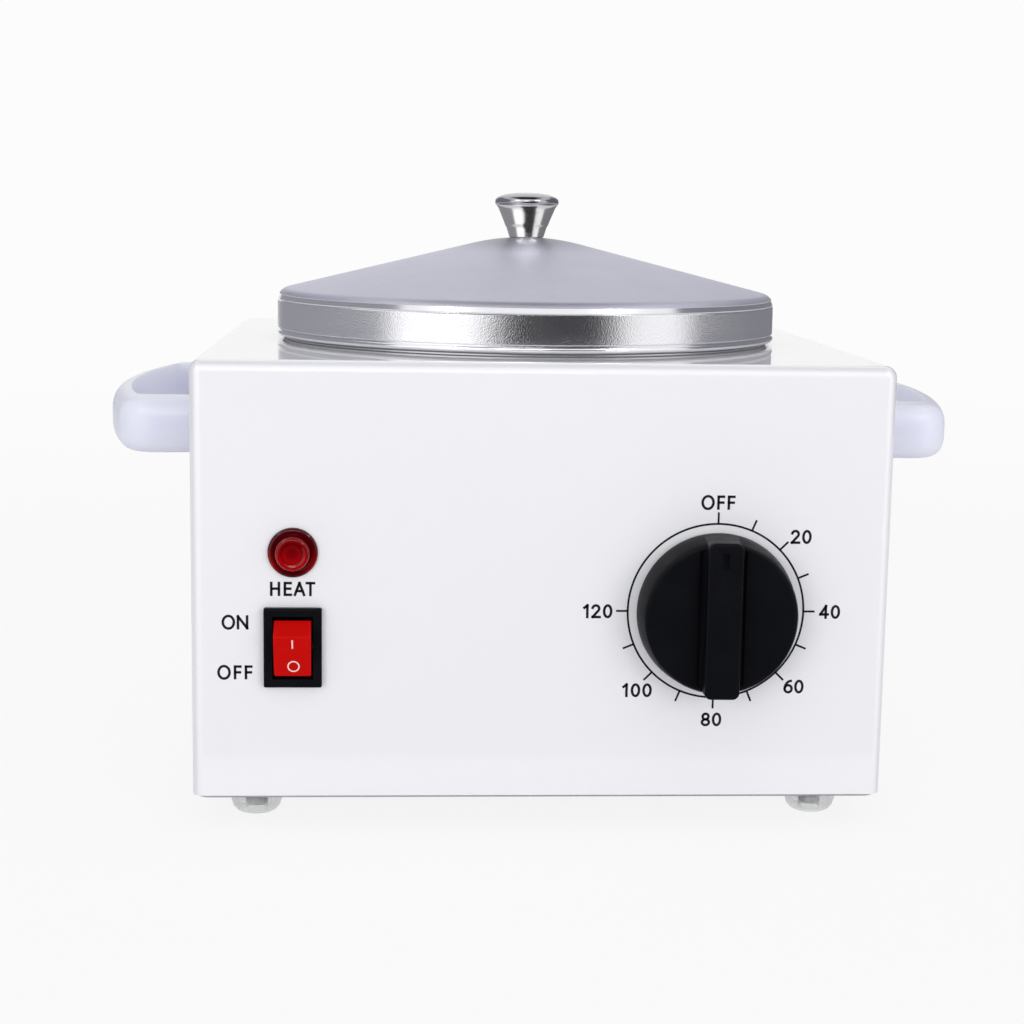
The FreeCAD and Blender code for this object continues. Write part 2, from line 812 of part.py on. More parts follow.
def switch_housing():
    bezel = block(-bezel_width / 2, bezel_width / 2, -bezel_height / 2, bezel_height / 2, 0, bezel_thickness)
    bezel = bezel.makeFillet(bezel_edge_round, [edge for edge in bezel.Edges if edge.CenterOfMass.z > 0.01])
    body = block(-switch_width / 2, switch_width / 2, -switch_length / 2, switch_length / 2, -switch_depth, 0)
    room_x = switch_opening_width / 2
    room_y = switch_opening_length / 2
    room = block(-room_x, room_x, -room_y, room_y, -switch_depth + switch_floor, bezel_thickness + 1)
    pivot = bezel_thickness - rocker_pivot_depth
    bores = rod(trunnion_radius + fit_clearance, switch_width - 2 * trunnion_seat,
                at(-switch_width / 2 + trunnion_seat, 0, pivot), RIGHT)
    shape = bezel.fuse(body).cut(room).cut(bores).removeSplitter()
    return on_front(shape, switch_x, switch_height)


def switch_rocker():
    low = -0.65 * rocker_rise
    ridge = rocker_end - rocker_shoulder
    tuck = rocker_end - rocker_shoulder / 2
    steps = [(-ridge, rocker_rise), (ridge, rocker_rise), (rocker_end, rocker_lip), (tuck, -rocker_belly),
             (rocker_heel, low), (-rocker_heel, low), (-tuck, -rocker_belly), (-rocker_end, rocker_lip)]
    profile = face(steps, lambda y, z: at(-rocker_width / 2, y, z))
    body = profile.extrude(at(rocker_width, 0, 0))
    soft = [edge for edge in body.Edges if edge.CenterOfMass.z > rocker_lip + 0.1]
    body = body.makeFillet(rocker_edge_round, soft)
    reach = switch_width / 2 - 2 * trunnion_seat
    body = body.fuse(rod(trunnion_radius, 2 * reach, at(-reach, 0, 0), RIGHT)).removeSplitter()
    body.rotate(at(0, 0, 0), RIGHT, rocker_tilt)
    body.translate(at(0, 0, bezel_thickness - rocker_pivot_depth))
    return on_front(body, switch_x, switch_height)


def switch_terminals():
    places = (-switch_terminal_spacing, 0, switch_terminal_spacing)
    return [on_front(blade(0, y, -switch_depth, switch_blade_half_width, blade_half_sheet),
                     switch_x, switch_height) for y in places]


# The pilot lamp


def lamp_lens():
    top = lamp_flange + lamp_dome
    crest = lamp_dome_radius - lamp_edge_round
    steps = [
        (0, -lamp_barrel), (lamp_barrel_radius, -lamp_barrel), (lamp_barrel_radius, 0),
        (lamp_flange_radius, 0),
        (lamp_flange_radius, lamp_flange * 0.4),
        (lamp_flange_radius - 0.25, lamp_flange * 0.85, lamp_flange_radius - lamp_edge_round, lamp_flange),
        (lamp_dome_radius, lamp_flange), (lamp_dome_radius - 0.15, top - 0.7),
        (lamp_dome_radius - 0.35, top - 0.2, crest, top),
        dome(crest, top, top - lamp_dome_step),
    ]
    lens = turned(steps)
    hollow = rod(lamp_barrel_radius - lamp_wall, lamp_barrel + top - lamp_face, at(0, 0, -lamp_barrel))
    return on_front(lens.cut(hollow), switch_x, lamp_height)


def lamp_holder():
    plug = rod(lamp_barrel_radius - lamp_wall - fit_clearance, lamp_plug, at(0, 0, -lamp_barrel))
    plug = plug.fuse(rod(lamp_barrel_radius, lamp_holder_depth, at(0, 0, -lamp_barrel - lamp_holder_depth)))
    plug = plug.removeSplitter()
    return on_front(plug, switch_x, lamp_height)


def neon_lamp():
    low = lamp_plug - lamp_barrel
    top = low + neon_length
    glass = turned([(0, low), (neon_radius, low), (neon_radius, top - 0.7 * neon_radius),
                    dome(neon_radius, top - 0.7 * neon_radius, top)])
    return on_front(glass, switch_x, lamp_height)


def lamp_clip():
    ring = tube(lamp_clip_radius, lamp_barrel_radius + fit_clearance, lamp_clip_sheet,
                at(0, 0, -case_sheet - lamp_clip_sheet))
    return on_front(ring, switch_x, lamp_height)


# The pot and its bail


def lid_underside(radius):
    return lid_apex - lid_sheet / math.cos(lid_angle) - lid_slope * radius


def pot_rim_z():
    """Height of the rolled rim's centre, just under the lid that rests on it."""
    return lid_underside(pot_rim_radius) - (pot_bead + seat_gap) / math.cos(lid_angle)


def inner_pot():
    floor = well_floor + seat_gap
    cup = rod(pot_radius, pot_rim_z() - floor, at(0, 0, floor))
    cup = cup.makeFillet(pot_corner, foot_ring(cup, floor, pot_radius))
    cup = cup.fuse(Part.makeTorus(pot_rim_radius, pot_bead, at(0, 0, pot_rim_z())))
    inner = pot_radius - pot_sheet
    hollow = rod(inner, pot_rim_z() - floor + 4 * pot_bead, at(0, 0, floor + pot_sheet))
    hollow = hollow.makeFillet(pot_corner - pot_sheet, foot_ring(hollow, floor + pot_sheet, inner))
    return cup.cut(hollow).removeSplitter()


def bail_pivot():
    """The lugs clear the well's flange, which sets the height of the bail's pins."""
    return case_top + well_flange_sheet + seat_gap + lug_radius


def bail_droop():
    """Angle by which the folded bail leans down until its far end lies just above the flange."""
    return math.degrees(math.asin((lug_radius - bail_wire) / bail_radius))


def pot_lugs():
    lugs = []
    lug_reach = bail_radius - bail_wire - lug_gap - pot_radius
    for sign in (-1, 1):
        boss = rod(lug_radius, 2 * lug_reach, at(sign * (pot_radius - lug_reach), 0, bail_pivot()),
                   at(sign, 0, 0))
        boss = boss.cut(rod(pot_radius, 4 * lug_radius, at(0, 0, bail_pivot() - 2 * lug_radius)))
        bore = rod(bail_wire + fit_clearance, lug_reach,
                   at(sign * (pot_radius + lug_recess), 0, bail_pivot()), at(sign, 0, 0))
        lugs.append(boss.cut(bore))
    return lugs


def pot_bail():
    bow = Part.makeTorus(bail_radius, bail_wire, at(0, 0, 0))
    bow = bow.common(block(-2 * bail_radius, 2 * bail_radius, 0, 2 * bail_radius, -bail_radius, bail_radius))
    pin_end = pot_radius + lug_recess + seat
    for sign in (-1, 1):
        bow = bow.fuse(Part.makeSphere(bail_wire, at(sign * bail_radius, 0, 0)))
        bow = bow.fuse(rod(bail_wire, bail_radius - pin_end, at(sign * pin_end, 0, 0), at(sign, 0, 0)))
    bow = bow.removeSplitter()
    bow.rotate(at(0, 0, 0), RIGHT, -bail_droop())
    bow.translate(at(0, 0, bail_pivot()))
    return bow


# The lid


def lid_steps(inset):
    """Section of the lid from its crown to its hem, pressed in by inset all over."""
    radius = lid_radius - inset
    shoulder = lid_shoulder - inset
    crown = lid_apex_round - inset
    peak = lid_apex - inset / math.cos(lid_angle)
    shoulder_z = peak - lid_slope * (radius - shoulder) - shoulder / math.cos(lid_angle)
    half_crown = lid_angle / 2
    half_shoulder = (lid_angle + math.pi / 2) / 2
    return [
        (0, lid_crown + crown),
        (crown * math.sin(half_crown), lid_crown + crown * math.cos(half_crown),
         crown * math.sin(lid_angle), lid_crown + crown * math.cos(lid_angle)),
        (radius - shoulder + shoulder * math.sin(lid_angle), shoulder_z + shoulder * math.cos(lid_angle)),
        (radius - shoulder + shoulder * math.sin(half_shoulder),
         shoulder_z + shoulder * math.cos(half_shoulder), radius, shoulder_z),
    ]


def lid_shell():
    hem = case_top + seat_gap + seat
    outer = turned(lid_steps(0) + [(lid_radius, hem), (0, hem)])
    inner = turned(lid_steps(lid_sheet) + [(lid_radius - lid_sheet, hem - 1), (0, hem - 1)])
    shell = outer.cut(inner)
    bead_outer = lid_radius + lid_bead_proud
    bead = tube(bead_outer, bead_outer - lid_bead_width, lid_bead_height, at(0, 0, hem))
    rims = [edge for edge in bead.Edges if edge.Length > 5 * lid_radius]
    shell = shell.fuse(bead.makeFillet(0.45 * lid_bead_width, rims))
    shell = shell.cut(rod(2 * knob_base_radius, lid_sheet, at(0, 0, knob_seat)))
    return shell.cut(rod(middle_screw_radius + panel_clearance, 4 * lid_sheet,
                         at(0, 0, knob_seat - 3 * lid_sheet)))


def lid_knob():
    base = knob_base_radius
    rim = knob_rim_radius
    top = knob_height
    steps = [
        (0, 0), (base - 0.5, 0), (base, 0.5), (base + 1.2, 3.4), (rim - 0.9, top - 4.5),
        (rim - 0.2, top - 3.5, rim, top - 2.6),
        (rim - 0.25, top - 1.7, rim - 1.1, top - 1.1),
        dome(rim - 1.1, top - 1.1, top),
    ]
    knob = turned(steps).cut(rod(middle_screw_radius, knob_screw_depth, at(0, 0, 0)))
    knob.translate(at(0, 0, knob_seat))
    return knob


def washer_top():
    """Level at which the flat washer's edge meets the underside of the crown."""
    crown = lid_apex_round - lid_sheet
    return lid_crown + math.sqrt(crown ** 2 - knob_washer_radius ** 2)


def knob_washer():
    return tube(knob_washer_radius, middle_screw_radius + fit_clearance, washer_sheet,
                at(0, 0, washer_top() - washer_sheet))


def knob_screw():
    reach = knob_seat - washer_top() + washer_sheet + knob_screw_grip
    return screw(middle_screw_radius, reach, middle_head_radius, middle_head_height,
                 at(0, 0, washer_top() - washer_sheet), UP)


# The cord's way in, the terminal block and the inner wires


def cord_gland():
    steps = [
        (gland_bore, -gland_depth), (gland_barrel_radius, -gland_depth), (gland_barrel_radius, 0),
        (gland_flange_radius, 0), (gland_flange_radius, gland_flange), (gland_bore + 2.8, gland_flange + 0.7),
        (gland_bore + 1.6, gland_reach),
        (gland_bore, gland_reach),
    ]
    return on_rear(turned(steps), gland_x, gland_height)


def gland_nut():
    nut = hexagon(2 * (gland_barrel_radius + gland_nut_margin), gland_nut_height,
                  gland_barrel_radius + fit_clearance, at(0, 0, -case_sheet), DOWN)
    return on_rear(nut, gland_x, gland_height)


def terminal_block():
    x0 = block_x - block_width / 2
    body = block(x0, x0 + block_width, block_y - block_depth / 2, block_y + block_depth / 2,
                 case_bottom, case_bottom + block_height)
    for x in (block_x - block_terminal_spacing / 2, block_x + block_terminal_spacing / 2):
        for y in (block_y - block_row_spacing / 2, block_y + block_row_spacing / 2):
            body = body.cut(rod(block_hole_radius, block_hole_depth,
                                at(x, y, case_bottom + block_height - block_hole_depth)))
    return body.cut(rod(small_screw_radius, block_screw_grip, at(block_x, block_y, case_bottom)))


def block_screw():
    return screw(small_screw_radius, block_screw_grip + plate_sheet, small_head_radius, small_head_height,
                 at(block_x, block_y, plate_bottom), UP)


def lead_place(angle, height):
    """Place of a heater lead, between the well and its wrap, turned from the back towards the left."""
    radius = (well_outer + wrap_inner) / 2
    return at(-radius * math.sin(math.radians(angle)), radius * math.cos(math.radians(angle)), height)


def inner_wires():
    """Each wire is a short list of places between two terminals; the loops hang free inside the case."""
    stub = wire_stub
    pitch = wire_pitch
    low = case_bottom + loom_height
    high = well_bottom - loom_drop
    switch_y = front + switch_depth + blade_length
    switch_z = case_bottom + switch_height
    upper_z = switch_z + switch_terminal_spacing
    lower_z = switch_z - switch_terminal_spacing
    thermostat_y = front + case_sheet + thermostat_depth + blade_length
    thermostat_z = case_bottom + dial_height - thermostat_terminal_drop
    thermostat_in = dial_x - thermostat_terminal_spacing / 2
    thermostat_out = dial_x + thermostat_terminal_spacing / 2
    lamp_y = front + lamp_barrel + lamp_holder_depth
    lamp_z = case_bottom + lamp_height
    lamp_in = switch_x - lamp_pin_spacing / 2
    lamp_out = switch_x + lamp_pin_spacing / 2
    cutout_x = cutout_terminal_spacing / 2
    cutout_z = well_bottom - cutout_height - blade_length
    block_z = case_bottom + block_terminal_height
    block_front = block_y - block_depth / 2
    block_left = block_x - block_width / 2
    block_right = block_x + block_width / 2
    live_x = block_x - block_terminal_spacing / 2
    neutral_y = block_y + 2 * pitch
    return {
        "wire_block_to_switch": [
            at(live_x, block_front, block_z),
            at(live_x, block_front - stub, block_z),
            at(2 * pitch - loom_side, -stub, low),
            at(-loom_side, -loom_front - pitch, low + pitch),
            at(switch_x, switch_y + stub, lower_z),
            at(switch_x, switch_y, lower_z),
        ],
        "wire_switch_to_thermostat": [
            at(switch_x, switch_y, switch_z),
            at(switch_x, switch_y + stub, switch_z),
            at(-loom_front, -loom_front - 2 * pitch, low + 2 * pitch),
            at(-stub, -loom_front, low),
            at(dial_x / 2, -loom_front, low + stub),
            at(thermostat_in, thermostat_y + stub, thermostat_z),
            at(thermostat_in, thermostat_y, thermostat_z),
        ],
        "wire_thermostat_to_cutout": [
            at(thermostat_out, thermostat_y, thermostat_z),
            at(thermostat_out, thermostat_y + stub, thermostat_z),
            at(loom_side, -stub, high),
            at(loom_front + pitch, 2 * stub, high),
            at(dial_x / 2, cutout_behind + pitch, high),
            at(cutout_x, cutout_behind, cutout_z - 2 * pitch),
            at(cutout_x, cutout_behind, cutout_z),
        ],
        "wire_cutout_to_heater": [
            at(-cutout_x, cutout_behind, cutout_z),
            at(-cutout_x, cutout_behind, cutout_z - 2 * pitch),
            at(-dial_x / 2, cutout_behind + 3 * pitch, high),
            at(-loom_front, loom_front, high + pitch),
            lead_place(near_lead_angle, high + stub),
            lead_place(near_lead_angle, heater_low),
        ],
        "wire_heater_to_block": [
            lead_place(far_lead_angle, heater_low),
            lead_place(far_lead_angle, well_bottom - stub),
            at(-loom_side, stub, low + stub),
            at(-loom_side, block_y - 2 * pitch, case_bottom + stub),
            at(block_left - 3 * pitch, neutral_y, block_z),
            at(block_left, neutral_y, block_z),
        ],
        "wire_lamp_to_switch": [
            at(lamp_in, lamp_y, lamp_z),
            at(lamp_in, lamp_y + stub, lamp_z),
            at(switch_x - 3 * pitch, lamp_y + stub + pitch, lamp_z - stub),
            at(switch_x - 2 * pitch, switch_y + stub, upper_z + pitch),
            at(switch_x, switch_y + 2 * pitch, upper_z),
            at(switch_x, switch_y, upper_z),
        ],
        "wire_lamp_to_block": [
            at(lamp_out, lamp_y, lamp_z),
            at(lamp_out, lamp_y + stub, lamp_z),
            at(-loom_front - 2 * pitch, -loom_front, low + 2 * stub),
            at(-2 * stub - pitch, -loom_front / 2, case_bottom + stub),
            at(-2 * pitch, stub + pitch, case_bottom + 2 * pitch),
            at(block_right + stub, block_y, block_z),
            at(block_right, block_y, block_z),
        ],
    }


def parts():
    pieces = {
        "outer_case": outer_case(),
        "base_plate": base_plate(),
        "base_screws": base_screws(),
        "foot_screws": foot_screws(),
        "foot_nuts": foot_nuts(),
        "handle_left": side_handle(-1),
        "handle_right": side_handle(1),
        "handle_screws": handle_screws(),
        "heating_well": heating_well(),
        "heater_band": heater_band(),
        "heater_strap": heater_strap(),
        "strap_screw": strap_screw(),
        "strap_nut": strap_nut(),
        "insulation_wrap": insulation_wrap(),
        "well_stud": well_stud(),
        "stud_nuts": stud_nuts(),
        "heat_shield": heat_shield(),
        "thermostat_body": thermostat_body(),
        "thermostat_screws": thermostat_screws(),
        "thermostat_terminals": thermostat_terminals(),
        "thermostat_shaft": thermostat_shaft(),
        "dial_knob": dial_knob(),
        "sensor_bulb": sensor_bulb(),
        "bulb_clip": bulb_clip(),
        "capillary_tube": capillary_tube(),
        "thermal_cutout": thermal_cutout(),
        "cutout_studs": cutout_studs(),
        "cutout_nuts": cutout_nuts(),
        "switch_housing": switch_housing(),
        "switch_rocker": switch_rocker(),
        "switch_terminals": switch_terminals(),
        "lamp_lens": lamp_lens(),
        "lamp_holder": lamp_holder(),
        "lamp_clip": lamp_clip(),
        "neon_lamp": neon_lamp(),
        "inner_pot": inner_pot(),
        "pot_lugs": pot_lugs(),
        "pot_bail": pot_bail(),
        "lid_shell": lid_shell(),
        "lid_knob": lid_knob(),
        "knob_washer": knob_washer(),
        "knob_screw": knob_screw(),
        "cord_gland": cord_gland(),
        "gland_nut": gland_nut(),
        "terminal_block": terminal_block(),
        "block_screw": block_screw(),
    }
    for name, (x, y) in foot_places().items():
        soft_foot = foot()
        soft_foot.translate(at(x, y, 0))
        pieces["foot_" + name] = soft_foot
    for name, points in inner_wires().items():
        pieces[name] = led(points, wire_radius)
    return pieces


os.makedirs("parts", exist_ok=True)
for node, piece in parts().items():
    shape = Part.makeCompound(piece) if isinstance(piece, list) else piece
    shape.translate(at(0, case_shift, 0))
    shape.exportStep("parts/" + node + ".step")
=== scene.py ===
import json
import math

import bmesh
import bpy
from mathutils import Matrix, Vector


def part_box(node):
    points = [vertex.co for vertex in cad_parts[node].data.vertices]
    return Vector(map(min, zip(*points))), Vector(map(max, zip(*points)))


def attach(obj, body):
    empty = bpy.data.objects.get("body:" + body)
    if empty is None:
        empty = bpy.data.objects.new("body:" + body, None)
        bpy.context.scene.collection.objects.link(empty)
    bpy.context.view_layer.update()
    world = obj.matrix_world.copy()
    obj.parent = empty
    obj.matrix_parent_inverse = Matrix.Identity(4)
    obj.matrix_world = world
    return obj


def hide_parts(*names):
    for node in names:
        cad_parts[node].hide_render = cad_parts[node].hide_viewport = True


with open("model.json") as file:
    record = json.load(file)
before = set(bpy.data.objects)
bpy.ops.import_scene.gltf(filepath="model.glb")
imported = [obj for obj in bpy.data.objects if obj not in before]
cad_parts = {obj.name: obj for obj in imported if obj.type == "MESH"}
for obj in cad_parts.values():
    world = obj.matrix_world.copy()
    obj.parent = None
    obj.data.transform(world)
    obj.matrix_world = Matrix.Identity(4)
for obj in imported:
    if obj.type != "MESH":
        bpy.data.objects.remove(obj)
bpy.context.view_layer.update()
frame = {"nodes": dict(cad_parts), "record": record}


# Outer case
# One folded cover of sheet steel, open below, where four screws hold the base plate to its
# flanges. Its white powder coat is glossy, with the faint ripple that such coats dry with; its
# colour is painted a little darker on the bends, as painted shade.

mm = 0.001
cad_nodes = frame["nodes"]
coat_ripple = 2.2 * mm
coat_ripple_depth = 0.012 * mm
bend_and_flat = (0.72, 0.98)
bend_shade_colour = (0.66, 0.66, 0.72, 1)


class Value:
    """A number that varies over a surface, for use in plain arithmetic."""

    def __init__(self, finish, socket):
        self.finish = finish
        self.socket = socket

    def worked(self, operation, first, second):
        return self.finish.node("ShaderNodeMath", {"operation": operation}, {0: first, 1: second})

    def __add__(self, other):
        return self.worked("ADD", self, other)

    def __radd__(self, other):
        return self.worked("ADD", other, self)

    def __sub__(self, other):
        return self.worked("SUBTRACT", self, other)

    def __rsub__(self, other):
        return self.worked("SUBTRACT", other, self)

    def __mul__(self, other):
        return self.worked("MULTIPLY", self, other)

    def __rmul__(self, other):
        return self.worked("MULTIPLY", other, self)

    def __pow__(self, other):
        return self.worked("POWER", self, other)


class Finish:
    """A surface finish: the shader's fixed settings, and the patterns that vary over the piece."""

    def __init__(self, name, **fixed):
        self.material = bpy.data.materials.new(name)
        self.material.use_nodes = True
        self.tree = self.material.node_tree
        self.shader = self.tree.nodes["Principled BSDF"]
        for socket, setting in fixed.items():
            self.shader.inputs[socket.replace("_", " ")].default_value = setting
        self.place = self.node("ShaderNodeTexCoord", {}, {}, "Object")

    def node(self, kind, settings, sockets, output=0):
        made = self.tree.nodes.new(kind)
        for name, setting in settings.items():
            setattr(made, name, setting)
        for socket, given in sockets.items():
            if isinstance(given, Value):
                self.tree.links.new(given.socket, made.inputs[socket])
            else:
                made.inputs[socket].default_value = given
        return Value(self, made.outputs[output])

    def grain(self, size, detail=2.0, place=None):
        """Cloudy noise from 0 to 1 whose blotches are about size across."""
        return self.node("ShaderNodeTexNoise", {}, {"Vector": place or self.place, "Scale": 1 / size,
                                                    "Detail": detail}, "Fac")

    def axes(self, vector):
        """The x, y and z of a vector."""
        apart = self.node("ShaderNodeSeparateXYZ", {}, {0: vector}).socket.node
        return [Value(self, apart.outputs[axis]) for axis in "XYZ"]

    def greater(self, first, second):
        return self.node("ShaderNodeMath", {"operation": "MAXIMUM"}, {0: first, 1: second})

    def ramp(self, value, low, high):
        """0 below low, 1 above high, with a soft passage between."""
        return self.node("ShaderNodeMapRange", {"interpolation_type": "SMOOTHSTEP"},
                         {"Value": value, "From Min": low, "From Max": high})

    def mixed(self, share, first, second):
        """Colour first where share is 0, second where it is 1."""
        return self.node("ShaderNodeMix", {"data_type": "RGBA"}, {0: share, 6: first, 7: second}, 2)

    def relief(self, height, depth):
        return self.node("ShaderNodeBump", {}, {"Height": height, "Distance": depth})

    def wear(self, **varying):
        """Feed the named shader sockets with values that vary over the piece."""
        for socket, value in varying.items():
            self.tree.links.new(value.socket, self.shader.inputs[socket.replace("_", " ")])
        return self


def coat(piece, finish):
    """Give a piece or CAD node one finish all over."""
    piece.data.materials.clear()
    piece.data.materials.append(finish.material)
    for polygon in piece.data.polygons:
        polygon.material_index = 0


def powder_coat():
    coating = Finish("powder_coat", Coat_Weight=1.0, Coat_Roughness=0.035)
    ripple = coating.grain(coat_ripple, 1.0)
    cloud = coating.grain(60 * mm)
    facing = coating.node("ShaderNodeNewGeometry", {}, {}, "Normal")
    x, y, z = coating.axes(coating.node("ShaderNodeVectorMath", {"operation": "ABSOLUTE"}, {0: facing}))
    squareness = coating.greater(coating.greater(x, y), z)
    # Painted shade: where the face turns at a bend, the colour goes darker.
    bend_shade = 1 - coating.ramp(squareness, *bend_and_flat)
    white = coating.mixed(cloud, (0.845, 0.845, 0.885, 1), (0.865, 0.865, 0.90, 1))
    return coating.wear(
        Base_Color=coating.mixed(bend_shade * 0.6, white, bend_shade_colour),
        Roughness=0.3 + 0.06 * cloud,
        Normal=coating.relief(ripple, coat_ripple_depth),
    )


coat(cad_nodes["outer_case"], powder_coat())
case_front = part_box("outer_case")[0].y


# Printing on the case front
# Black screen-printed ink, a film about as thick as a hair: the scale ring with its ticks, the
# temperatures in plain stroke figures, and the plain words beside the lamp and the switch.

dial_middle = (44.7 * mm, 57.4 * mm)
ring_radius = 22.86 * mm
ink_line = 0.52 * mm
tick_count = 13
tick_step = 22.5
tick_length = 3.0 * mm
ink_film = 0.03 * mm
letter_height = 3.7 * mm
letter_stroke = 0.66 * mm

# The words, each with the place of its middle and its width in mm; the dial's count from its middle.
dial_words = [
    ("OFF", -0.2, 28.4, 8.8), ("20", 21.6, 19.6, 5.4), ("40", 29.8, -0.1, 5.5), ("60", 21.1, -20.0, 5.3),
    ("80", -0.3, -28.8, 5.4), ("100", -20.0, -21.0, 7.9), ("120", -30.7, -0.1, 7.8),
]
switch_words = [("HEAT", -64.05, 62.85, 11.5), ("ON", -78.7, 54.15, 6.8), ("OFF", -78.8, 41.05, 9.0)]


def nothing_selected():
    if bpy.context.mode != "OBJECT":
        bpy.ops.object.mode_set(mode="OBJECT")
    bpy.ops.object.select_all(action="DESELECT")


def only(piece):
    """Make this piece the one selected and active object."""
    nothing_selected()
    piece.select_set(True)
    bpy.context.view_layer.objects.active = piece


def settle(piece):
    """Put the piece's place, turn and size into its mesh."""
    only(piece)
    bpy.ops.object.transform_apply(location=True, rotation=True, scale=True)


def oval(x, y, across, up, start=0, end=360, steps=36):
    """Points round an oval of the given half width and half height, angles in degrees."""
    turns = [math.radians(start + (end - start) * step / steps) for step in range(steps + 1)]
    return [(x + across * math.cos(turn), y + up * math.sin(turn)) for turn in turns]


def letter(sign):
    """The strokes of one sign, one unit high from middle line to middle line, and the room it takes."""
    stem = [(0, 0), (0, 1)]
    shapes = {
        "O": ([oval(0.46, 0.5, 0.46, 0.54)], 0.92),
        "F": ([stem, [(0, 1), (0.45, 1)], [(0, 0.5), (0.41, 0.5)]], 0.45),
        "N": ([stem, [(0, 1), (0.76, 0)], [(0.76, 0), (0.76, 1)]], 0.76),
        "H": ([stem, [(0, 0.52), (0.64, 0.52)], [(0.64, 0), (0.64, 1)]], 0.78),
        "E": ([stem, [(0, 1), (0.48, 1)], [(0, 0.52), (0.44, 0.52)], [(0, 0), (0.5, 0)]], 0.48),
        "A": ([[(0, 0), (0.38, 1)], [(0.38, 1), (0.76, 0)], [(0.13, 0.32), (0.63, 0.32)]], 0.64),
        "T": ([[(0.3, 0), (0.3, 1)], [(0, 1), (0.6, 1)]], 0.6),
        "0": ([oval(0.3, 0.5, 0.3, 0.5)], 0.6),
        "1": ([[(0.32, 0), (0.32, 1)], [(0.32, 1), (0.06, 0.8)]], 0.4),
        "2": ([oval(0.27, 0.73, 0.28, 0.27, 165, -35, 20) + [(0.0, 0.0)], [(0, 0), (0.6, 0)]], 0.6),
        "4": ([[(0.46, 0), (0.46, 1)], [(0.46, 1), (0, 0.28)], [(0, 0.28), (0.64, 0.28)]], 0.62),
        "6": ([oval(0.3, 0.31, 0.3, 0.31), oval(0.54, 0.31, 0.54, 0.69, 180, 94, 16)], 0.6),
        "8": ([oval(0.3, 0.75, 0.25, 0.25), oval(0.3, 0.25, 0.3, 0.25)], 0.6),
    }
    return shapes[sign]


def closed(points):
    """Whether a stroke ends where it starts."""
    return math.dist(points[0], points[-1]) < 0.01 * mm


def squared(points, width):
    """Lengthen an open stroke by half its width at both ends, so that its corners close."""
    if closed(points):
        return points
    ends = []
    for end, inner in ((points[0], points[1]), (points[-1], points[-2])):
        share = width / 2 / math.dist(end, inner)
        ends.append((end[0] + share * (end[0] - inner[0]), end[1] + share * (end[1] - inner[1])))
    return [ends[0]] + points[1:-1] + [ends[1]]


def word(text, x, z, width):
    """The strokes of a word, its middle at (x, z), its letters spread to the given width."""
    size = letter_height - letter_stroke
    widths = [letter(sign)[1] * size for sign in text]
    spread = (width - letter_stroke - sum(widths)) / (len(text) - 1)
    left = x - (width - letter_stroke) / 2
    strokes = []
    for sign, wide in zip(text, widths):
        for stroke in letter(sign)[0]:
            placed = [(left + across * size, z + (up - 0.5) * size) for across, up in stroke]
            strokes.append(squared(placed, letter_stroke))
        left += wide + spread
    return strokes


def words(table, x=0.0, z=0.0):
    """The strokes of all the words of a table, each with its width, placed from the point (x, z)."""
    return [(stroke, letter_stroke) for text, across, above, width in table
            for stroke in word(text, x + across * mm, z + above * mm, width * mm)]


def band(shape, points, width):
    """Lay a flat band of the given width along the points, mitred where it turns."""
    round_again = closed(points)
    points = points[:-1] if round_again else points
    steps = list(zip(points, points[1:] + points[:1]))
    steps = steps if round_again else steps[:-1]
    turns = [math.atan2(there[1] - here[1], there[0] - here[0]) for here, there in steps]
    sides = []
    for index, (x, z) in enumerate(points):
        before = turns[index - 1] if round_again or index else turns[0]
        after = turns[index] if index < len(turns) else turns[-1]
        bend = math.remainder(after - before, math.tau) / 2
        reach = width / 2 / math.cos(bend)
        across = before + bend + math.pi / 2
        aside, along = reach * math.cos(across), reach * math.sin(across)
        sides.append([shape.verts.new((x + way * aside, z + way * along, 0)) for way in (-1, 1)])
    sides += sides[:1] if round_again else []
    for near, far in zip(sides, sides[1:]):
        shape.faces.new((near[0], far[0], far[1], near[1]))


def pulled_up(name, shape, height):
    """Make a piece of a flat shape drawn lying down, and extrude it upwards by the height."""
    mesh = bpy.data.meshes.new(name)
    shape.to_mesh(mesh)
    shape.free()
    piece = bpy.data.objects.new(name, mesh)
    bpy.context.scene.collection.objects.link(piece)
    only(piece)
    bpy.ops.object.mode_set(mode="EDIT")
    bpy.ops.mesh.select_all(action="SELECT")
    bpy.ops.mesh.extrude_region_move(TRANSFORM_OT_translate={"value": (0, 0, height)})
    bpy.ops.mesh.select_all(action="SELECT")
    bpy.ops.mesh.normals_make_consistent(inside=False)
    bpy.ops.object.mode_set(mode="OBJECT")
    return piece


def raised(name, strokes):
    """A film of print whose strokes are given as (points, width), drawn lying down."""
    shape = bmesh.new()
    for points, width in strokes:
        band(shape, points, width)
    return pulled_up(name, shape, ink_film)


def on_front(piece, x, z, out=0.0):
    """Stand a piece built upright about the origin on the case front, its top outwards."""
    piece.rotation_euler = (math.pi / 2, 0, 0)
    piece.location = (x, case_front - out, z)
    settle(piece)
    return piece


def tick(angle):
    """A tick outside the ring, the angle counted clockwise from the top."""
    turn = math.radians(angle)
    return [(dial_middle[0] + reach * math.sin(turn), dial_middle[1] + reach * math.cos(turn))
            for reach in (ring_radius, ring_radius + tick_length)]


def print_ink():
    black = Finish("print_ink", Roughness=0.5, Specular_IOR_Level=0.3)
    cloud = black.grain(3 * mm)
    return black.wear(Base_Color=black.mixed(cloud, (0.004, 0.004, 0.006, 1), (0.010, 0.010, 0.012, 1)))


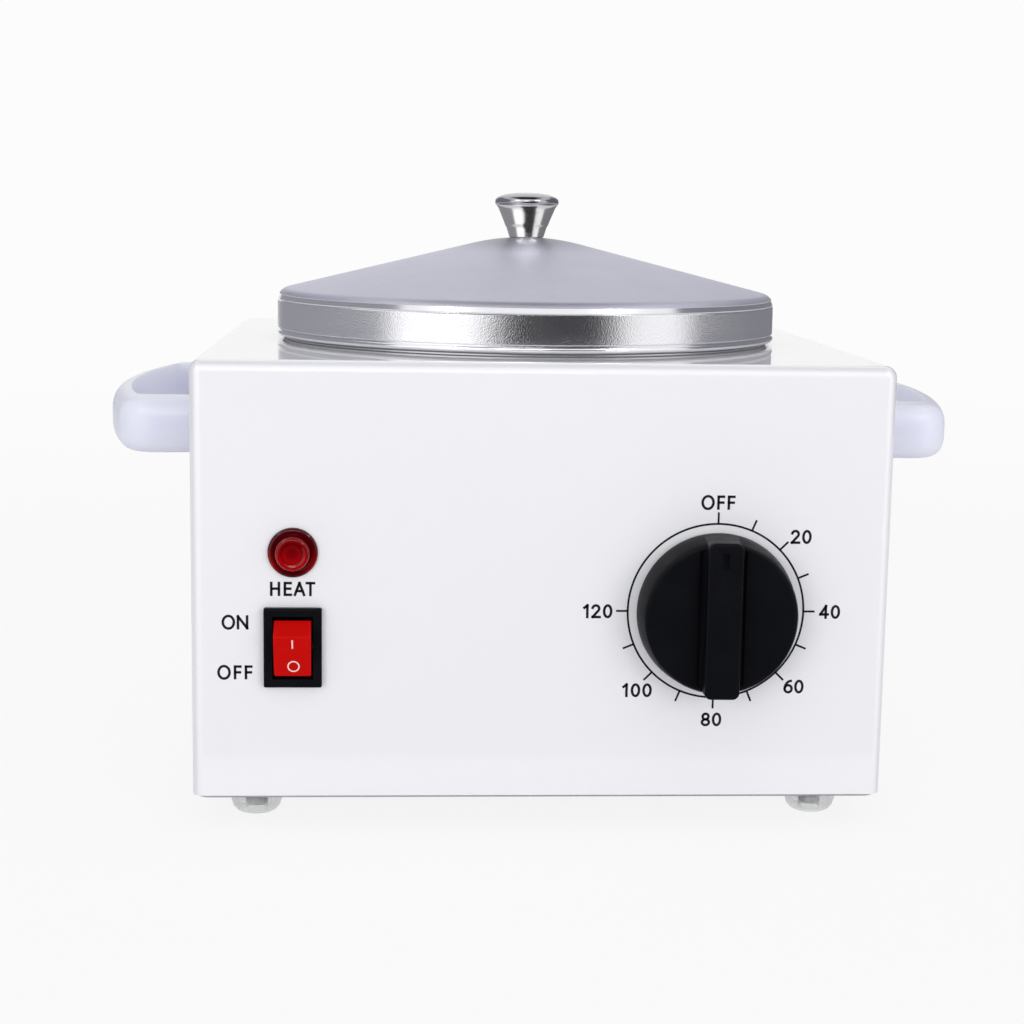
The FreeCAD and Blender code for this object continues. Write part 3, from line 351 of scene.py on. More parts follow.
scale_strokes = [(oval(*dial_middle, ring_radius, ring_radius, steps=192), ink_line)]
scale_strokes += [(tick(tick_step * count), ink_line) for count in range(tick_count)]
scale_strokes += words(dial_words, *dial_middle)
black_ink = print_ink()
for name, strokes in (("scale_print", scale_strokes), ("switch_print", words(switch_words))):
    printed = on_front(raised(name, strokes), 0, 0)
    coat(printed, black_ink)
    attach(printed, "base")


# Side handles
# Two bowed loops moulded from pale, slightly translucent plastic. Each is held by two screws
# from inside the case; the outer edges are full and round, the finger opening's are small.

case_side = 90 * mm
case_middle = 3 * mm
handle_height = 100.9 * mm
handle_reach = 29.4 * mm
handle_half = 63 * mm
handle_tall = 14.8 * mm
handle_straight = 12.5 * mm
handle_corner = 10 * mm
handle_edge = 6.4 * mm
handle_bar = 5.2 * mm
handle_leg = 13 * mm
leg_swell = 1.0 * mm
opening_straight = 15 * mm
opening_corner = 3.5 * mm
opening_edge = 0.8 * mm
into_wall = 1 * mm
touching = 0.001 * mm


def bowed_loop(reach, half, straight, corner, swell=0.0):
    """Plan of a bowed D from its near end on the wall to its far end; its legs may swell a little."""
    corner_steps, leg_steps, bow_steps = 12, 6, 14
    run_in = reach - straight
    drop = half - corner
    bow = (run_in ** 2 + drop ** 2 - corner ** 2) / (2 * (run_in - corner))
    lean = math.atan2(drop, straight - reach + bow)
    turns = [lean * step / bow_steps for step in range(bow_steps)]
    middle = [(reach - bow + bow * math.cos(turn), bow * math.sin(turn)) for turn in turns]
    turns = [lean + (math.pi / 2 - lean) * step / corner_steps for step in range(corner_steps + 1)]
    far = [(straight + corner * math.cos(turn), drop + corner * math.sin(turn)) for turn in turns]
    leg = [(straight * step / leg_steps, half - swell * (1 - step / leg_steps) ** 2)
           for step in range(leg_steps - 1, 0, -1)]
    upper = middle + far + (leg if swell else [])
    return [(x, -y) for x, y in reversed(upper[1:])] + upper


def prism(name, plan, low, high):
    """A flat plan of (x, y) corners, drawn at low and pulled up to high."""
    shape = bmesh.new()
    shape.faces.new([shape.verts.new((x, y, low)) for x, y in plan])
    return pulled_up(name, shape, high - low)


def select_edges(piece, wanted):
    """Go into edit mode with those edges selected whose two ends satisfy the wanted test."""
    only(piece)
    bpy.ops.object.mode_set(mode="EDIT")
    bpy.ops.mesh.select_mode(type="EDGE")
    bpy.ops.mesh.select_all(action="DESELECT")
    bpy.ops.object.mode_set(mode="OBJECT")
    points = piece.data.vertices
    for edge in piece.data.edges:
        edge.select = wanted(points[edge.vertices[0]].co, points[edge.vertices[1]].co)
    bpy.ops.object.mode_set(mode="EDIT")


def finished_by(piece, kind, **settings):
    """Add one modifier to the piece and apply it."""
    only(piece)
    bpy.ops.object.modifier_add(type=kind)
    modifier = piece.modifiers[-1]
    for name, setting in settings.items():
        setattr(modifier, name, setting)
    bpy.ops.object.modifier_apply(modifier=modifier.name)


def rounded(piece, width, segments, sharp_above):
    """Round the edges where faces meet at more than the given angle, in degrees."""
    finished_by(piece, "BEVEL", width=width, segments=segments, limit_method="ANGLE",
                angle_limit=math.radians(sharp_above))


def combined(piece, other, operation):
    """Cut the other piece out of this one, or join it to this one, and use it up."""
    finished_by(piece, "BOOLEAN", object=other, operation=operation, solver="EXACT")
    bpy.data.objects.remove(other)


def cut_by(piece, cutter):
    combined(piece, cutter, "DIFFERENCE")


def joined_to(piece, other):
    combined(piece, other, "UNION")


def smooth(piece, sharp_above=35):
    only(piece)
    bpy.ops.object.shade_smooth_by_angle(angle=math.radians(sharp_above))


def side_handle(name, sign):
    outline = bowed_loop(handle_reach, handle_half, handle_straight, handle_corner, leg_swell)
    outline = [(0, leg_swell - handle_half)] + outline + [(0, handle_half - leg_swell)]
    grip = prism(name, outline, -handle_tall / 2, handle_tall / 2)
    select_edges(grip, lambda one, two: abs(one.z - two.z) < touching and one.x + two.x > touching)
    bpy.ops.mesh.bevel(offset=handle_edge, segments=12, profile=0.6, affect="EDGES", clamp_overlap=True)
    bpy.ops.object.mode_set(mode="OBJECT")
    half_open = handle_half - handle_leg
    opening = bowed_loop(handle_reach - handle_bar, half_open, opening_straight, opening_corner)
    opening = [(-into_wall, -half_open)] + opening + [(-into_wall, half_open)]
    cut_by(grip, prism(name + "_opening", opening, -handle_tall, handle_tall))
    rounded(grip, opening_edge, 3, 55)
    if sign < 0:
        grip.rotation_euler = (0, 0, math.pi)
    grip.location = (sign * case_side, case_middle, handle_height)
    settle(grip)
    smooth(grip)
    return grip


def pale_plastic():
    plastic = Finish("pale_plastic", Roughness=0.3, Subsurface_Weight=0.6, Subsurface_Scale=0.01,
                     Subsurface_Radius=(1.0, 1.0, 1.3))
    cloud = plastic.grain(14 * mm, 3.0)
    fine = plastic.grain(1.2 * mm)
    return plastic.wear(
        Base_Color=plastic.mixed(cloud, (0.72, 0.73, 0.86, 1), (0.76, 0.77, 0.90, 1)),
        Roughness=0.30 + 0.08 * fine,
        Normal=plastic.relief(fine, 0.006 * mm),
    )


handle_finish = pale_plastic()
for name, sign in (("handle_left", -1), ("handle_right", 1)):
    handle = side_handle(name + "_moulded", sign)
    coat(handle, handle_finish)
    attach(handle, "base")
    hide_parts(name)


# Heating well and pot
# Both are spun from aluminium sheet, so fine rings run round them. The well hangs in the
# case by its flange; the pot has a rolled rim and lifts out by its bail.


def arc(radius, middle, size, start, end, steps):
    """Points of a round part of a section, angles in degrees from outwards towards up."""
    turns = [math.radians(start + (end - start) * step / steps) for step in range(steps + 1)]
    return [(radius + size * math.cos(turn), middle + size * math.sin(turn)) for turn in turns]


def spun(name, section, steps=96):
    """A piece turned about the upright through the origin from (radius, height) points in mm."""
    nothing_selected()
    bpy.ops.mesh.primitive_plane_add(size=mm)
    piece = bpy.context.object
    piece.name = name
    piece.data.name = name
    bpy.ops.object.mode_set(mode="EDIT")
    bpy.ops.mesh.select_mode(type="VERT")
    bpy.ops.mesh.select_all(action="SELECT")
    bpy.ops.mesh.merge(type="CENTER")
    bpy.ops.transform.translate(value=(section[0][0] * mm, 0, section[0][1] * mm))
    for here, there in zip(section, section[1:]):
        step = ((there[0] - here[0]) * mm, 0, (there[1] - here[1]) * mm)
        bpy.ops.mesh.extrude_region_move(TRANSFORM_OT_translate={"value": step})
    bpy.ops.mesh.select_all(action="SELECT")
    bpy.ops.mesh.spin(steps=steps, angle=math.tau, center=(0, 0, 0), axis=(0, 0, 1))
    bpy.ops.mesh.select_all(action="SELECT")
    bpy.ops.mesh.remove_doubles(threshold=touching)
    bpy.ops.mesh.normals_make_consistent(inside=False)
    bpy.ops.object.mode_set(mode="OBJECT")
    return piece


def centred(piece):
    """Move a piece spun about the origin onto the case's upright middle line."""
    piece.location = (0, case_middle, 0)
    settle(piece)
    smooth(piece)
    return piece


def round_place(finish):
    """The distance from a spun piece's upright middle line, and the height above the floor."""
    from_middle = finish.node("ShaderNodeVectorMath", {"operation": "SUBTRACT"},
                              {0: finish.place, 1: (0, case_middle, 0)})
    x, y, height = finish.axes(from_middle)
    return (x * x + y * y) ** 0.5, height


def tool_lines(finish, size, detail, radius, height):
    """Fine rings round a spun or turned piece, from 0 to 1, about size apart."""
    round_it = finish.node("ShaderNodeCombineXYZ", {}, {"X": radius, "Z": height})
    return finish.grain(size, detail, round_it)


def spun_aluminium():
    metal = Finish("spun_aluminium", Metallic=1.0)
    lines = tool_lines(metal, 0.5 * mm, 3.0, *round_place(metal))
    cloud = metal.grain(25 * mm)
    return metal.wear(
        Base_Color=metal.mixed(cloud, (0.62, 0.62, 0.64, 1), (0.72, 0.72, 0.74, 1)),
        Roughness=0.26 + 0.16 * lines,
        Normal=metal.relief(lines, 0.01 * mm),
    )


well_outside = [(0, 75.0)] + arc(58.5, 82.0, 7.0, -90, 0, 8)
well_flange = [(65.5, 121.0), (70.6, 121.0), (71.0, 121.2), (71.0, 121.6), (70.8, 121.8), (65.3, 121.8),
               (64.5, 121.2)]
well_inside = arc(58.5, 82.0, 6.0, 0, -90, 8) + [(0, 76.0)]
heating_well = centred(spun("heating_well_spun", well_outside + well_flange + well_inside))
pot_outside = [(0, 76.3)] + arc(55.5, 84.3, 8.0, -90, 0, 8)
rolled_rim = [(63.5, 132.0)] + arc(64.1, 134.0, 1.8, -95, 200, 16) + [(62.3, 131.6)]
pot_inside = arc(55.5, 84.3, 6.8, 0, -90, 8) + [(0, 77.5)]
inner_pot = centred(spun("inner_pot_spun", pot_outside + rolled_rim + pot_inside))
aluminium = spun_aluminium()
for piece, node, body in ((heating_well, "heating_well", "base"), (inner_pot, "inner_pot", "pot")):
    coat(piece, aluminium)
    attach(piece, body)
    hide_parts(node)


# Lid
# A spun aluminium cone, bead-blasted dull on top. Its skirt keeps the tool's wrinkles, with
# a bright bevel under the shoulder and a rolled bead at the hem.

lid_radius = 72.9
lid_apex = 152.9
lid_slope = math.atan(0.248)
crown_radius = 66.0
shoulder_radius = 3.6
shoulder_end = 33
lid_sheet = 0.8
cone_foot = (133.7 * mm, 133.95 * mm)
wrinkles_top = (131.8 * mm, 132.1 * mm)
wrinkles_foot = (123.7 * mm, 124.2 * mm)
knob_shade_reach = (7.0 * mm, 26 * mm)
bright_skirt = (0.86, 0.86, 0.89, 1)
knob_shade_colour = (0.24, 0.24, 0.28, 1)


def lid_section():
    """Down the outside of the lid from its middle, round the hem and back up the inside, in mm."""
    slope = math.degrees(lid_slope)
    crown_middle = lid_apex - crown_radius / math.cos(lid_slope)
    shoulder_middle = lid_radius - shoulder_radius
    shoulder_z = lid_apex - shoulder_middle * math.tan(lid_slope) - shoulder_radius / math.cos(lid_slope)
    top = arc(0, crown_middle, crown_radius, 90, 90 - slope, 8)
    shoulder = arc(shoulder_middle, shoulder_z, shoulder_radius, 90 - slope, shoulder_end, 10)
    bevel = [(72.25, 133.75), (72.78, 132.5), (72.62, 132.2), (72.88, 131.9)]
    bead = [(lid_radius, 124.3)] + arc(72.2, 122.9, 0.9, 70, -90, 7) + arc(71.9, 122.3, 0.5, -100, -180, 3)
    inside = [(71.6, 124.4), (72.1, 124.8), (71.9, 131.8), (71.4, 133.4)]
    inner_radius = shoulder_radius - lid_sheet
    inner_shoulder = arc(shoulder_middle, shoulder_z, inner_radius, shoulder_end, 90 - slope, 6)
    under = arc(0, crown_middle, crown_radius - lid_sheet, 90 - slope, 90, 8)
    return top + shoulder + bevel + bead + inside + inner_shoulder + under


def blasted_lid():
    metal = Finish("blasted_lid", Metallic=1.0)
    radius, height = round_place(metal)
    cone = metal.ramp(height, *cone_foot)
    wrinkled = (1 - metal.ramp(height, *wrinkles_top)) * metal.ramp(height, *wrinkles_foot)
    wrinkle = metal.grain(0.36 * mm, 1.0)
    blast = metal.grain(0.4 * mm)
    cloud = metal.grain(16 * mm, 4.0)
    speckle = metal.grain(0.9 * mm, 3.0)
    # Painted shade: the cone's colour goes darker round the knob's foot.
    knob_shade = 1 - metal.ramp(radius, *knob_shade_reach)
    blasted = metal.mixed(0.6 * cloud + 0.4 * speckle, (0.57, 0.57, 0.67, 1), (0.74, 0.74, 0.85, 1))
    blasted = metal.mixed(knob_shade * 0.6, blasted, knob_shade_colour)
    return metal.wear(
        Base_Color=metal.mixed(cone, bright_skirt, blasted),
        Roughness=0.15 + cone * (0.33 + 0.05 * cloud) + wrinkled * 0.05,
        Normal=metal.relief(wrinkled * wrinkle * 0.045 + cone * blast * 0.02, 1.0 * mm),
    )


lid = centred(spun("lid_spun", lid_section(), 160))
coat(lid, blasted_lid())
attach(lid, "lid")
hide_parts("lid_shell")


# Lid knob
# Turned from steel bar and polished: a waisted flare under a low dome. The tool left steps too
# fine to see, which face outwards, so the flare mirrors the room in upright bands. A screw from
# under the lid holds it, over a washer.

flare_top = (160.0 * mm, 160.4 * mm)
step_tilt = 0.4
cap_steel = (0.42, 0.42, 0.44, 1)


def turned_steel():
    metal = Finish("turned_steel_knob", Metallic=1.0, Anisotropic=0.6)
    radius, height = round_place(metal)
    lines = tool_lines(metal, 0.25 * mm, 2.0, radius, height)
    flare = 1 - metal.ramp(height, *flare_top)
    upwards = metal.node("ShaderNodeCombineXYZ", {}, {"Z": step_tilt * flare})
    facing = metal.node("ShaderNodeNewGeometry", {}, {}, "Normal")
    stepped = metal.node("ShaderNodeVectorMath", {"operation": "ADD"}, {0: facing, 1: upwards})
    outwards = metal.node("ShaderNodeVectorMath", {"operation": "NORMALIZE"}, {0: stepped})
    turned = metal.mixed(lines, (0.70, 0.69, 0.68, 1), (0.82, 0.81, 0.80, 1))
    return metal.wear(
        Base_Color=metal.mixed(flare, cap_steel, turned),
        Roughness=0.12 + 0.08 * lines,
        Normal=outwards,
    )


knob_section = [
    (0, 150.72), (4.7, 150.72), (5.1, 151.0), (5.45, 152.1), (6.0, 153.8), (6.3, 154.2), (6.9, 155.7),
    (7.62, 157.4), (8.38, 159.2), (8.9, 160.0), (9.25, 160.45), (9.4, 161.1), (9.3, 161.7), (8.95, 162.2),
    (8.1, 162.72), (6.3, 163.3), (3.3, 163.7), (0, 163.82),
]
knob = centred(spun("lid_knob_turned", knob_section))
coat(knob, turned_steel())
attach(knob, "lid")
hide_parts("lid_knob")


# Dial
# A moulded black knob: a slightly tapering skirt, a flat face and a raised grip bar with a
# narrow channel on each side. A slot near one end of the bar is the pointer.

dial_gap = 1.0 * mm
dial_section = [
    (0, 2.0), (18.7, 2.0), (18.7, 0), (20.4, 0), (20.7, 0.3), (20.65, 1.0), (19.75, 8.0), (19.4, 8.6),
    (18.9, 8.85), (18.2, 8.9), (0, 8.9),
]
grip_bar = ((-4.5, 4.5), (-20.1, 20.1), (7.5, 13.0))
bar_corner = 1.8 * mm
bar_edge = 0.6 * mm
channels = (((-6.0, -4.7), (-17.5, 17.5), (7.9, 10)), ((4.7, 6.0), (-17.5, 17.5), (7.9, 10)))
pointer_slot = ((-0.7, 0.7), (13.5, 17.6), (12.2, 14))
dial_edge = 0.2 * mm


def box_piece(name, x, y, z):
    """A block between the given (low, high) pairs, in mm."""
    nothing_selected()
    bpy.ops.mesh.primitive_cube_add(size=1)
    piece = bpy.context.object
    piece.name = name
    piece.scale = [(high - low) * mm for low, high in (x, y, z)]
    piece.location = [(high + low) / 2 * mm for low, high in (x, y, z)]
    settle(piece)
    return piece


def dial_knob():
    knob = spun("dial_knob_moulded", dial_section, 128)
    bar = box_piece("grip_bar", *grip_bar)
    select_edges(bar, lambda one, two: abs(one.z - two.z) > 1 * mm)
    bpy.ops.mesh.bevel(offset=bar_corner, segments=6, affect="EDGES")
    bpy.ops.object.mode_set(mode="OBJECT")
    rounded(bar, bar_edge, 3, 50)
    for channel in channels:
        cut_by(knob, box_piece("channel", *channel))
    cut_by(bar, box_piece("pointer", *pointer_slot))
    joined_to(knob, bar)
    rounded(knob, dial_edge, 2, 50)
    on_front(knob, *dial_middle, dial_gap)
    smooth(knob, 30)
    return knob


def black_plastic():
    plastic = Finish("black_plastic", IOR=1.2, Specular_IOR_Level=0.3)
    fine = plastic.grain(0.5 * mm)
    cloud = plastic.grain(9 * mm, 3.0)
    return plastic.wear(
        Base_Color=plastic.mixed(cloud, (0.0035, 0.0038, 0.0055, 1), (0.006, 0.0063, 0.0085, 1)),
        Roughness=0.3 + 0.1 * cloud,
        Normal=plastic.relief(fine, 0.004 * mm),
    )


black_gloss = black_plastic()
dial = dial_knob()
coat(dial, black_gloss)
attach(dial, "dial")
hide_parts("dial_knob")


# Rocker switch
# A black snap-in housing whose bezel frames a red rocker. The rocker has a short bright face
# above and a longer one below, where the two white marks are printed.

switch_middle = (-64 * mm, 47.8 * mm)
bezel_block = ((-7.4, 7.4), (-10.35, 10.35), (0, 2.0))
bezel_edge = 0.45 * mm
body_block = ((-6.4, 6.4), (-9.35, 9.35), (-12.0, 0.5))
rocker_room = ((-5.2, 5.2), (-8.15, 8.15), (-8.0, 4))
line_mark = ([(0.1 * mm, -0.65 * mm), (0.1 * mm, -3.1 * mm)], 0.38 * mm)
ring_mark = (oval(0.3 * mm, -8.4 * mm, 1.4 * mm, 1.45 * mm), 0.34 * mm)


def switch_housing():
    bezel = box_piece("switch_housing_moulded", *bezel_block)
    finished_by(bezel, "BEVEL", width=bezel_edge, segments=3)
    joined_to(bezel, box_piece("housing_body", *body_block))
    cut_by(bezel, box_piece("room", *rocker_room))
    return on_front(bezel, *switch_middle)


housing = switch_housing()
coat(housing, black_gloss)
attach(housing, "base")
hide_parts("switch_housing")


def red_plastic():
    plastic = Finish("red_plastic", IOR=1.3, Specular_IOR_Level=0.15)
    cloud = plastic.grain(4 * mm)
    return plastic.wear(
        Base_Color=plastic.mixed(cloud, (0.50, 0.001, 0.0005, 1), (0.56, 0.002, 0.001, 1)),
        Roughness=0.28 + 0.08 * cloud,
    )


def marked(rocker):
    """The line and the ring that mean on and off, printed down the rocker's long face."""
    faces = [face for face in rocker.data.polygons if face.normal.y < 0 and face.normal.z < -0.1]
    face = max(faces, key=lambda one: one.area)
    ridge = min((vertex.co for vertex in rocker.data.vertices), key=lambda corner: corner.y)
    marks = raised("rocker_marks", [line_mark, ring_mark])
    on_face = face.center.y - (ridge.z - face.center.z) * face.normal.z / face.normal.y
    marks.rotation_euler = (math.atan2(-face.normal.y, face.normal.z), 0, 0)
    marks.location = (switch_middle[0], on_face, ridge.z)
    settle(marks)
    return marks


def white_ink():
    white = Finish("white_ink", Roughness=0.5)
    faded = white.grain(1.5 * mm)
    return white.wear(Base_Color=white.mixed(faded, (0.80, 0.62, 0.60, 1), (0.86, 0.74, 0.72, 1)))


rocker = cad_nodes["switch_rocker"]
coat(rocker, red_plastic())
marks = marked(rocker)
coat(marks, white_ink())
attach(marks, "rocker")


# Pilot lamp
# A push-in lens of clear red plastic: a flat flange, and a raised middle with a stepped ring.
# The small neon bulb sits behind it in its holder.

lamp_middle = (-64 * mm, 72.3 * mm)
lens_flange = [(0, -16), (4.7, -16), (4.7, 0), (6.4, 0), (6.4, 0.4), (6.3, 0.8), (6.0, 1.08), (5.6, 1.18)]
lens_ring = [(4.9, 1.14), (4.5, 1.0), (4.45, 1.3), (4.4, 2.7), (4.28, 3.15), (4.0, 3.5), (3.6, 3.66)]
lens_middle = [(3.2, 3.6), (2.9, 3.42), (2.5, 3.38), (1.2, 3.46), (0, 3.48)]
deep_red = (0.060, 0.0, 0.002, 1)
painted_glow_red = (0.36, 0.001, 0.002, 1)


def red_lens():
    """Red lens whose colour holds painted light: brighter low on the disc and the flange, where light from
    above comes out, and dimmer at the step ring and the middle.
    """
    clear = Finish("red_lens", Roughness=0.07, Specular_IOR_Level=0.3)
    from_middle = clear.node("ShaderNodeVectorMath", {"operation": "SUBTRACT"},
                             {0: clear.place, 1: (lamp_middle[0], 0, lamp_middle[1])})
    x, _, z = clear.axes(from_middle)
    out = (x * x + z * z) ** 0.5
    disc = 1 - clear.ramp(out, 4.3 * mm, 4.6 * mm)
    step = clear.ramp(out, 2.2 * mm, 2.6 * mm) * (1 - clear.ramp(out, 2.9 * mm, 3.2 * mm))
    core = 1 - clear.ramp(out, 0.6 * mm, 2.2 * mm)
    lower = 1 - clear.ramp(z, -2.5 * mm, 2.5 * mm)
    sides = clear.ramp(x * x, 0.0, 22 * mm * mm)
    flange = clear.ramp(out, 4.6 * mm, 5.4 * mm) * sides
    # Painted glow: light through the lens, brighter low on the disc and flange, less at the step ring and
    # the middle.
    painted_glow = disc * (0.40 + 0.45 * lower) - 0.25 * disc * step - 0.30 * core + 0.45 * flange * lower
    return clear.wear(Base_Color=clear.mixed(painted_glow, deep_red, painted_glow_red))


lens = spun("lamp_lens_moulded", lens_flange + lens_ring + lens_middle)
on_front(lens, *lamp_middle)
smooth(lens, 40)
coat(lens, red_lens())
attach(lens, "base")
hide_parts("lamp_lens")


# Feet
# Four soft feet moulded from clear vinyl, narrower at the sole. A screw in the recess of each
# sole goes up through the base plate to a nut inside the case.

foot_outside = [(1.6, 7.5), (7.5, 7.5), (7.3, 6.6), (6.7, 3.0), (6.1, 1.3), (5.3, 0.4), (4.6, 0)]
screw_recess = [(3.0, 0), (3.0, 3.5), (1.6, 3.5), (1.6, 7.5)]
foot_places = {
    "foot_front_left": (-74.5, -71.5), "foot_front_right": (74.5, -71.5),
    "foot_rear_left": (-74.5, 77.5), "foot_rear_right": (74.5, 77.5),
}


def clear_vinyl():
    vinyl = Finish("clear_vinyl", Transmission_Weight=0.5, IOR=1.35, Roughness=0.08, Alpha=0.35)
    cloud = vinyl.grain(3 * mm)
    return vinyl.wear(Base_Color=vinyl.mixed(cloud, (0.90, 0.92, 0.95, 1), (0.96, 0.97, 0.99, 1)))


vinyl = clear_vinyl()
for node, (x, y) in foot_places.items():
    foot = spun(node + "_cup", foot_outside + screw_recess, 64)
    foot.location = (x * mm, y * mm, 0)
    settle(foot)
    smooth(foot)
    coat(foot, vinyl)
    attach(foot, "base")
    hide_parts(node)


# Fasteners and inner parts
# Zinc-plated sheet and screws, the heater in its sheath, the insulation, the control parts
# and the wires. They keep the shapes that they have in the frame.

# Each finish with its lighter and darker colour, its least roughness and whether it is metal.
plain_looks = {
    "zinc_sheet": ((0.62, 0.63, 0.66), (0.45, 0.46, 0.49), 0.3, 1.0),
    "bright_screws": ((0.70, 0.69, 0.66), (0.55, 0.54, 0.52), 0.2, 1.0),
    "bright_steel": ((0.66, 0.66, 0.66), (0.55, 0.55, 0.55), 0.15, 1.0),
    "heater_sheath": ((0.40, 0.36, 0.30), (0.24, 0.21, 0.18), 0.4, 1.0),
    "insulation": ((0.80, 0.79, 0.74), (0.66, 0.65, 0.60), 0.85, 0.0),
    "thermostat_case": ((0.10, 0.09, 0.085), (0.05, 0.045, 0.04), 0.45, 0.0),
    "turned_steel": ((0.60, 0.60, 0.60), (0.45, 0.45, 0.45), 0.25, 1.0),
    "terminals": ((0.75, 0.62, 0.32), (0.60, 0.48, 0.24), 0.25, 1.0),
    "copper": ((0.80, 0.42, 0.27), (0.60, 0.29, 0.18), 0.25, 1.0),
    "neon_glass": ((0.75, 0.55, 0.45), (0.60, 0.42, 0.34), 0.08, 0.0),
    "live_wire": ((0.30, 0.12, 0.05), (0.20, 0.08, 0.035), 0.4, 0.0),
    "neutral_wire": ((0.06, 0.16, 0.42), (0.04, 0.11, 0.32), 0.4, 0.0),
}


def plain(name, lighter, darker, roughness, metallic):
    surface = Finish(name, Metallic=metallic)
    cloud = surface.grain(6 * mm, 4.0)
    fine = surface.grain(0.4 * mm)
    return surface.wear(
        Base_Color=surface.mixed(cloud, (*darker, 1), (*lighter, 1)),
        Roughness=roughness + 0.15 * cloud,
        Normal=surface.relief(fine, 0.005 * mm),
    )


finishes = {slot: plain(slot, *looks) for slot, looks in plain_looks.items()}
finishes |= {"spun_aluminium": aluminium, "black_gloss": black_gloss}
for part in frame["record"]["subparts"]:
    if part["material_slot"] in finishes:
        coat(cad_nodes[part["node"]], finishes[part["material_slot"]])


# Studio
# The finished object stands on a pale floor between soft lamps. Cards that only polished
# metal and gloss can see give its reflections their light and dark bands.

floor_size = 8
backdrop_white = (0.975, 0.975, 0.975, 1)
world_daylight = 0.8
white = (1, 1, 1, 1)
dark = (0.03, 0.03, 0.034, 1)
left_grey = (0.30, 0.30, 0.33, 1)
right_grey = (0.22, 0.22, 0.245, 1)
card_foot = 0.003
ceiling = 1.5


def studio_floor():
    """White paper that fades into the backdrop: under the object it keeps a faint shadow."""
    paper = Finish("studio_floor", Roughness=0.7, Base_Color=(0.8, 0.8, 0.8, 1), Specular_IOR_Level=0.2)
    away = paper.node("ShaderNodeVectorMath", {"operation": "LENGTH"}, {0: paper.place}, "Value")
    faded = 0.9 + 0.1 * paper.ramp(away, 0.3, 1.3)
    seen = paper.node("ShaderNodeLightPath", {}, {}, "Is Camera Ray")
    backdrop = paper.node("ShaderNodeEmission", {}, {"Color": backdrop_white})
    lit = Value(paper, paper.shader.outputs[0])
    mix = paper.node("ShaderNodeMixShader", {}, {0: seen * faded, 1: lit, 2: backdrop})
    paper.tree.links.new(mix.socket, paper.tree.nodes["Material Output"].inputs["Surface"])
    return paper


nothing_selected()
bpy.ops.mesh.primitive_plane_add(size=floor_size)
floor = bpy.context.object
floor.name = "floor"
coat(floor, studio_floor())


def card(name, corners, colour, strength=1.0):
    """A flat card through the given corners that only shiny surfaces see."""
    mesh = bpy.data.meshes.new(name)
    mesh.from_pydata(corners, [], [list(range(len(corners)))])
    made = bpy.data.objects.new(name, mesh)
    bpy.context.scene.collection.objects.link(made)
    coat(made, Finish(name, Base_Color=(0, 0, 0, 1), Roughness=1.0, Specular_IOR_Level=0.0,
                      Emission_Color=colour, Emission_Strength=strength))
    made.visible_camera = False
    made.visible_diffuse = False
    made.visible_shadow = False
    made.visible_transmission = False


def upright_card(name, distance, start, end, low, high, colour, strength=1.0):
    """An upright card between two directions, counted in degrees from the front towards the right."""
    foot = [(distance * math.sin(math.radians(turn)), -distance * math.cos(math.radians(turn)))
            for turn in (start, end)]
    corners = [(*foot[0], low), (*foot[1], low), (*foot[1], high), (*foot[0], high)]
    card(name, corners, colour, strength)


def level_card(name, plan, height, colour):
    """A level card through the given (x, y) corners."""
    card(name, [(x, y, height) for x, y in plan], colour)


level_card("dark_floor_card", [(-0.12, -0.14), (0.14, -0.14), (1.6, -2.3), (-0.75, -2.3)], card_foot, dark)
upright_card("dark_card", 1.45, -13, 36, card_foot, 0.5, dark)
upright_card("soft_key_card", 1.45, -16, 6, 0.52, 0.85, white, 5)
upright_card("bright_left_card", 1.3, -62, -21, -0.02, 0.5, white, 1.4)
upright_card("bright_right_card", 1.3, 46, 72, -0.02, 0.5, white, 1.1)
upright_card("grey_left_card", 1.3, -160, -66, -0.1, 1.0, left_grey)
upright_card("grey_right_card", 1.3, 74, 160, -0.1, 1.0, right_grey)
upright_card("sparkle_left_card", 1.5, -44, -35, 0.88, 1.16, white, 26)
upright_card("sparkle_right_card", 1.5, 35, 44, 0.88, 1.16, white, 26)
level_card("dark_over_card", [(-0.6, -0.75), (0.6, -0.75), (0.6, 0.7), (-0.6, 0.7)], ceiling, dark)


def softbox(name, size, place, aim, watts):
    """A wide lamp that shiny surfaces don't see."""
    light = bpy.data.lights.new(name, "AREA")
    light.shape = "RECTANGLE"
    light.size, light.size_y = size
    light.energy = watts
    stand = bpy.data.objects.new(name, light)
    bpy.context.scene.collection.objects.link(stand)
    away = [there - here for here, there in zip(place, aim)]
    flat = math.hypot(away[0], away[1])
    stand.rotation_euler = (math.atan2(flat, -away[2]), 0, math.atan2(away[1], away[0]) - math.pi / 2)
    stand.location = place
    stand.visible_glossy = False


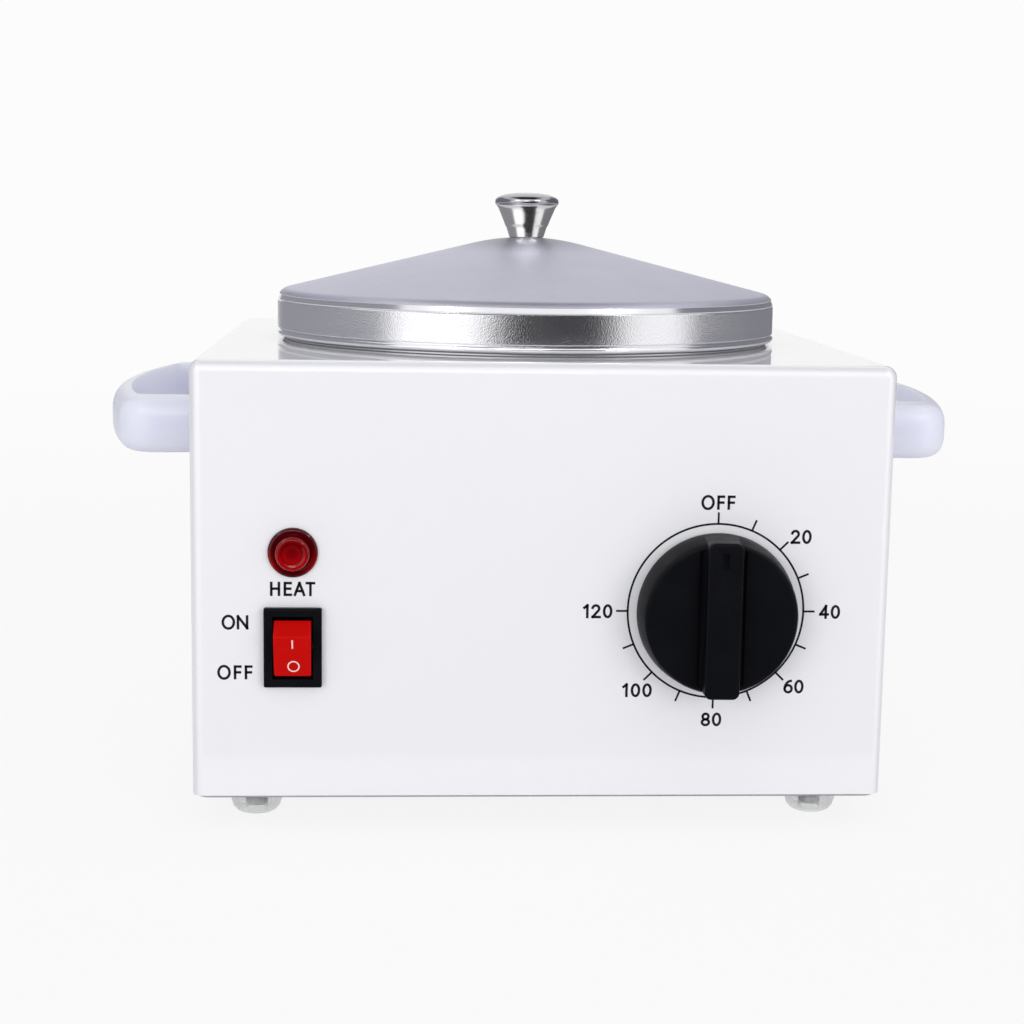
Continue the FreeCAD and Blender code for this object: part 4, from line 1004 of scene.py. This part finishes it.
def studio_world():
    """A white room, a little dimmer as a light than it looks to the camera and in metal and glass."""
    world = bpy.data.worlds.new("studio")
    world.use_nodes = True
    tree = world.node_tree
    sky = tree.nodes["Background"]
    rays = tree.nodes.new("ShaderNodeLightPath")
    seen = rays.outputs["Is Camera Ray"]
    for ray in ("Is Glossy Ray", "Is Transmission Ray"):
        either = tree.nodes.new("ShaderNodeMath")
        either.operation = "MAXIMUM"
        tree.links.new(seen, either.inputs[0])
        tree.links.new(rays.outputs[ray], either.inputs[1])
        seen = either.outputs[0]
    level = tree.nodes.new("ShaderNodeMapRange")
    level.inputs["To Min"].default_value = world_daylight
    level.inputs["To Max"].default_value = 1.0
    tree.links.new(seen, level.inputs["Value"])
    tree.links.new(level.outputs[0], sky.inputs["Strength"])
    sky.inputs["Color"].default_value = backdrop_white
    return world


softbox("overhead_softbox", (1.6, 1.6), (0, -0.1, 1.6), (0, 0, 0), 2)
softbox("left_softbox", (0.8, 0.6), (-0.8, -1.35, 0.35), (0, 0, 0.06), 4.4)
softbox("right_softbox", (0.8, 0.6), (0.9, -1.3, 0.35), (0, 0, 0.06), 4.9)
bpy.context.scene.world = studio_world()


# Camera
# A short telephoto lens half a metre in front of the case, level with the lid's knob and a
# little left of the middle. It looks slightly down and to the right.

camera_place = (-0.03806, -0.57466, 0.16077)
camera_yaw = 3.4785
camera_pitch = 9.041
camera_roll = 0.895


def aimed(yaw, pitch, roll):
    """The turn of a camera that looks along +Y, swung towards +X, tipped down and rolled."""
    yaw, pitch, roll = (math.radians(angle) for angle in (yaw, pitch, roll))
    swing = Matrix.Rotation(-yaw, 3, "Z")
    tip = Matrix.Rotation(math.pi / 2 - pitch, 3, "X")
    twist = Matrix.Rotation(roll, 3, "Z")
    return (swing @ tip @ twist).to_quaternion()


view = bpy.data.cameras.new("camera")
view.lens = 68.29
view.sensor_width = 36
view.clip_start = 0.01
camera = bpy.data.objects.new("camera", view)
bpy.context.scene.collection.objects.link(camera)
bpy.context.scene.camera = camera
camera.rotation_mode = "QUATERNION"
camera.rotation_quaternion = aimed(camera_yaw, camera_pitch, camera_roll)
camera.location = camera_place
bpy.context.scene.view_settings.view_transform = "Standard"
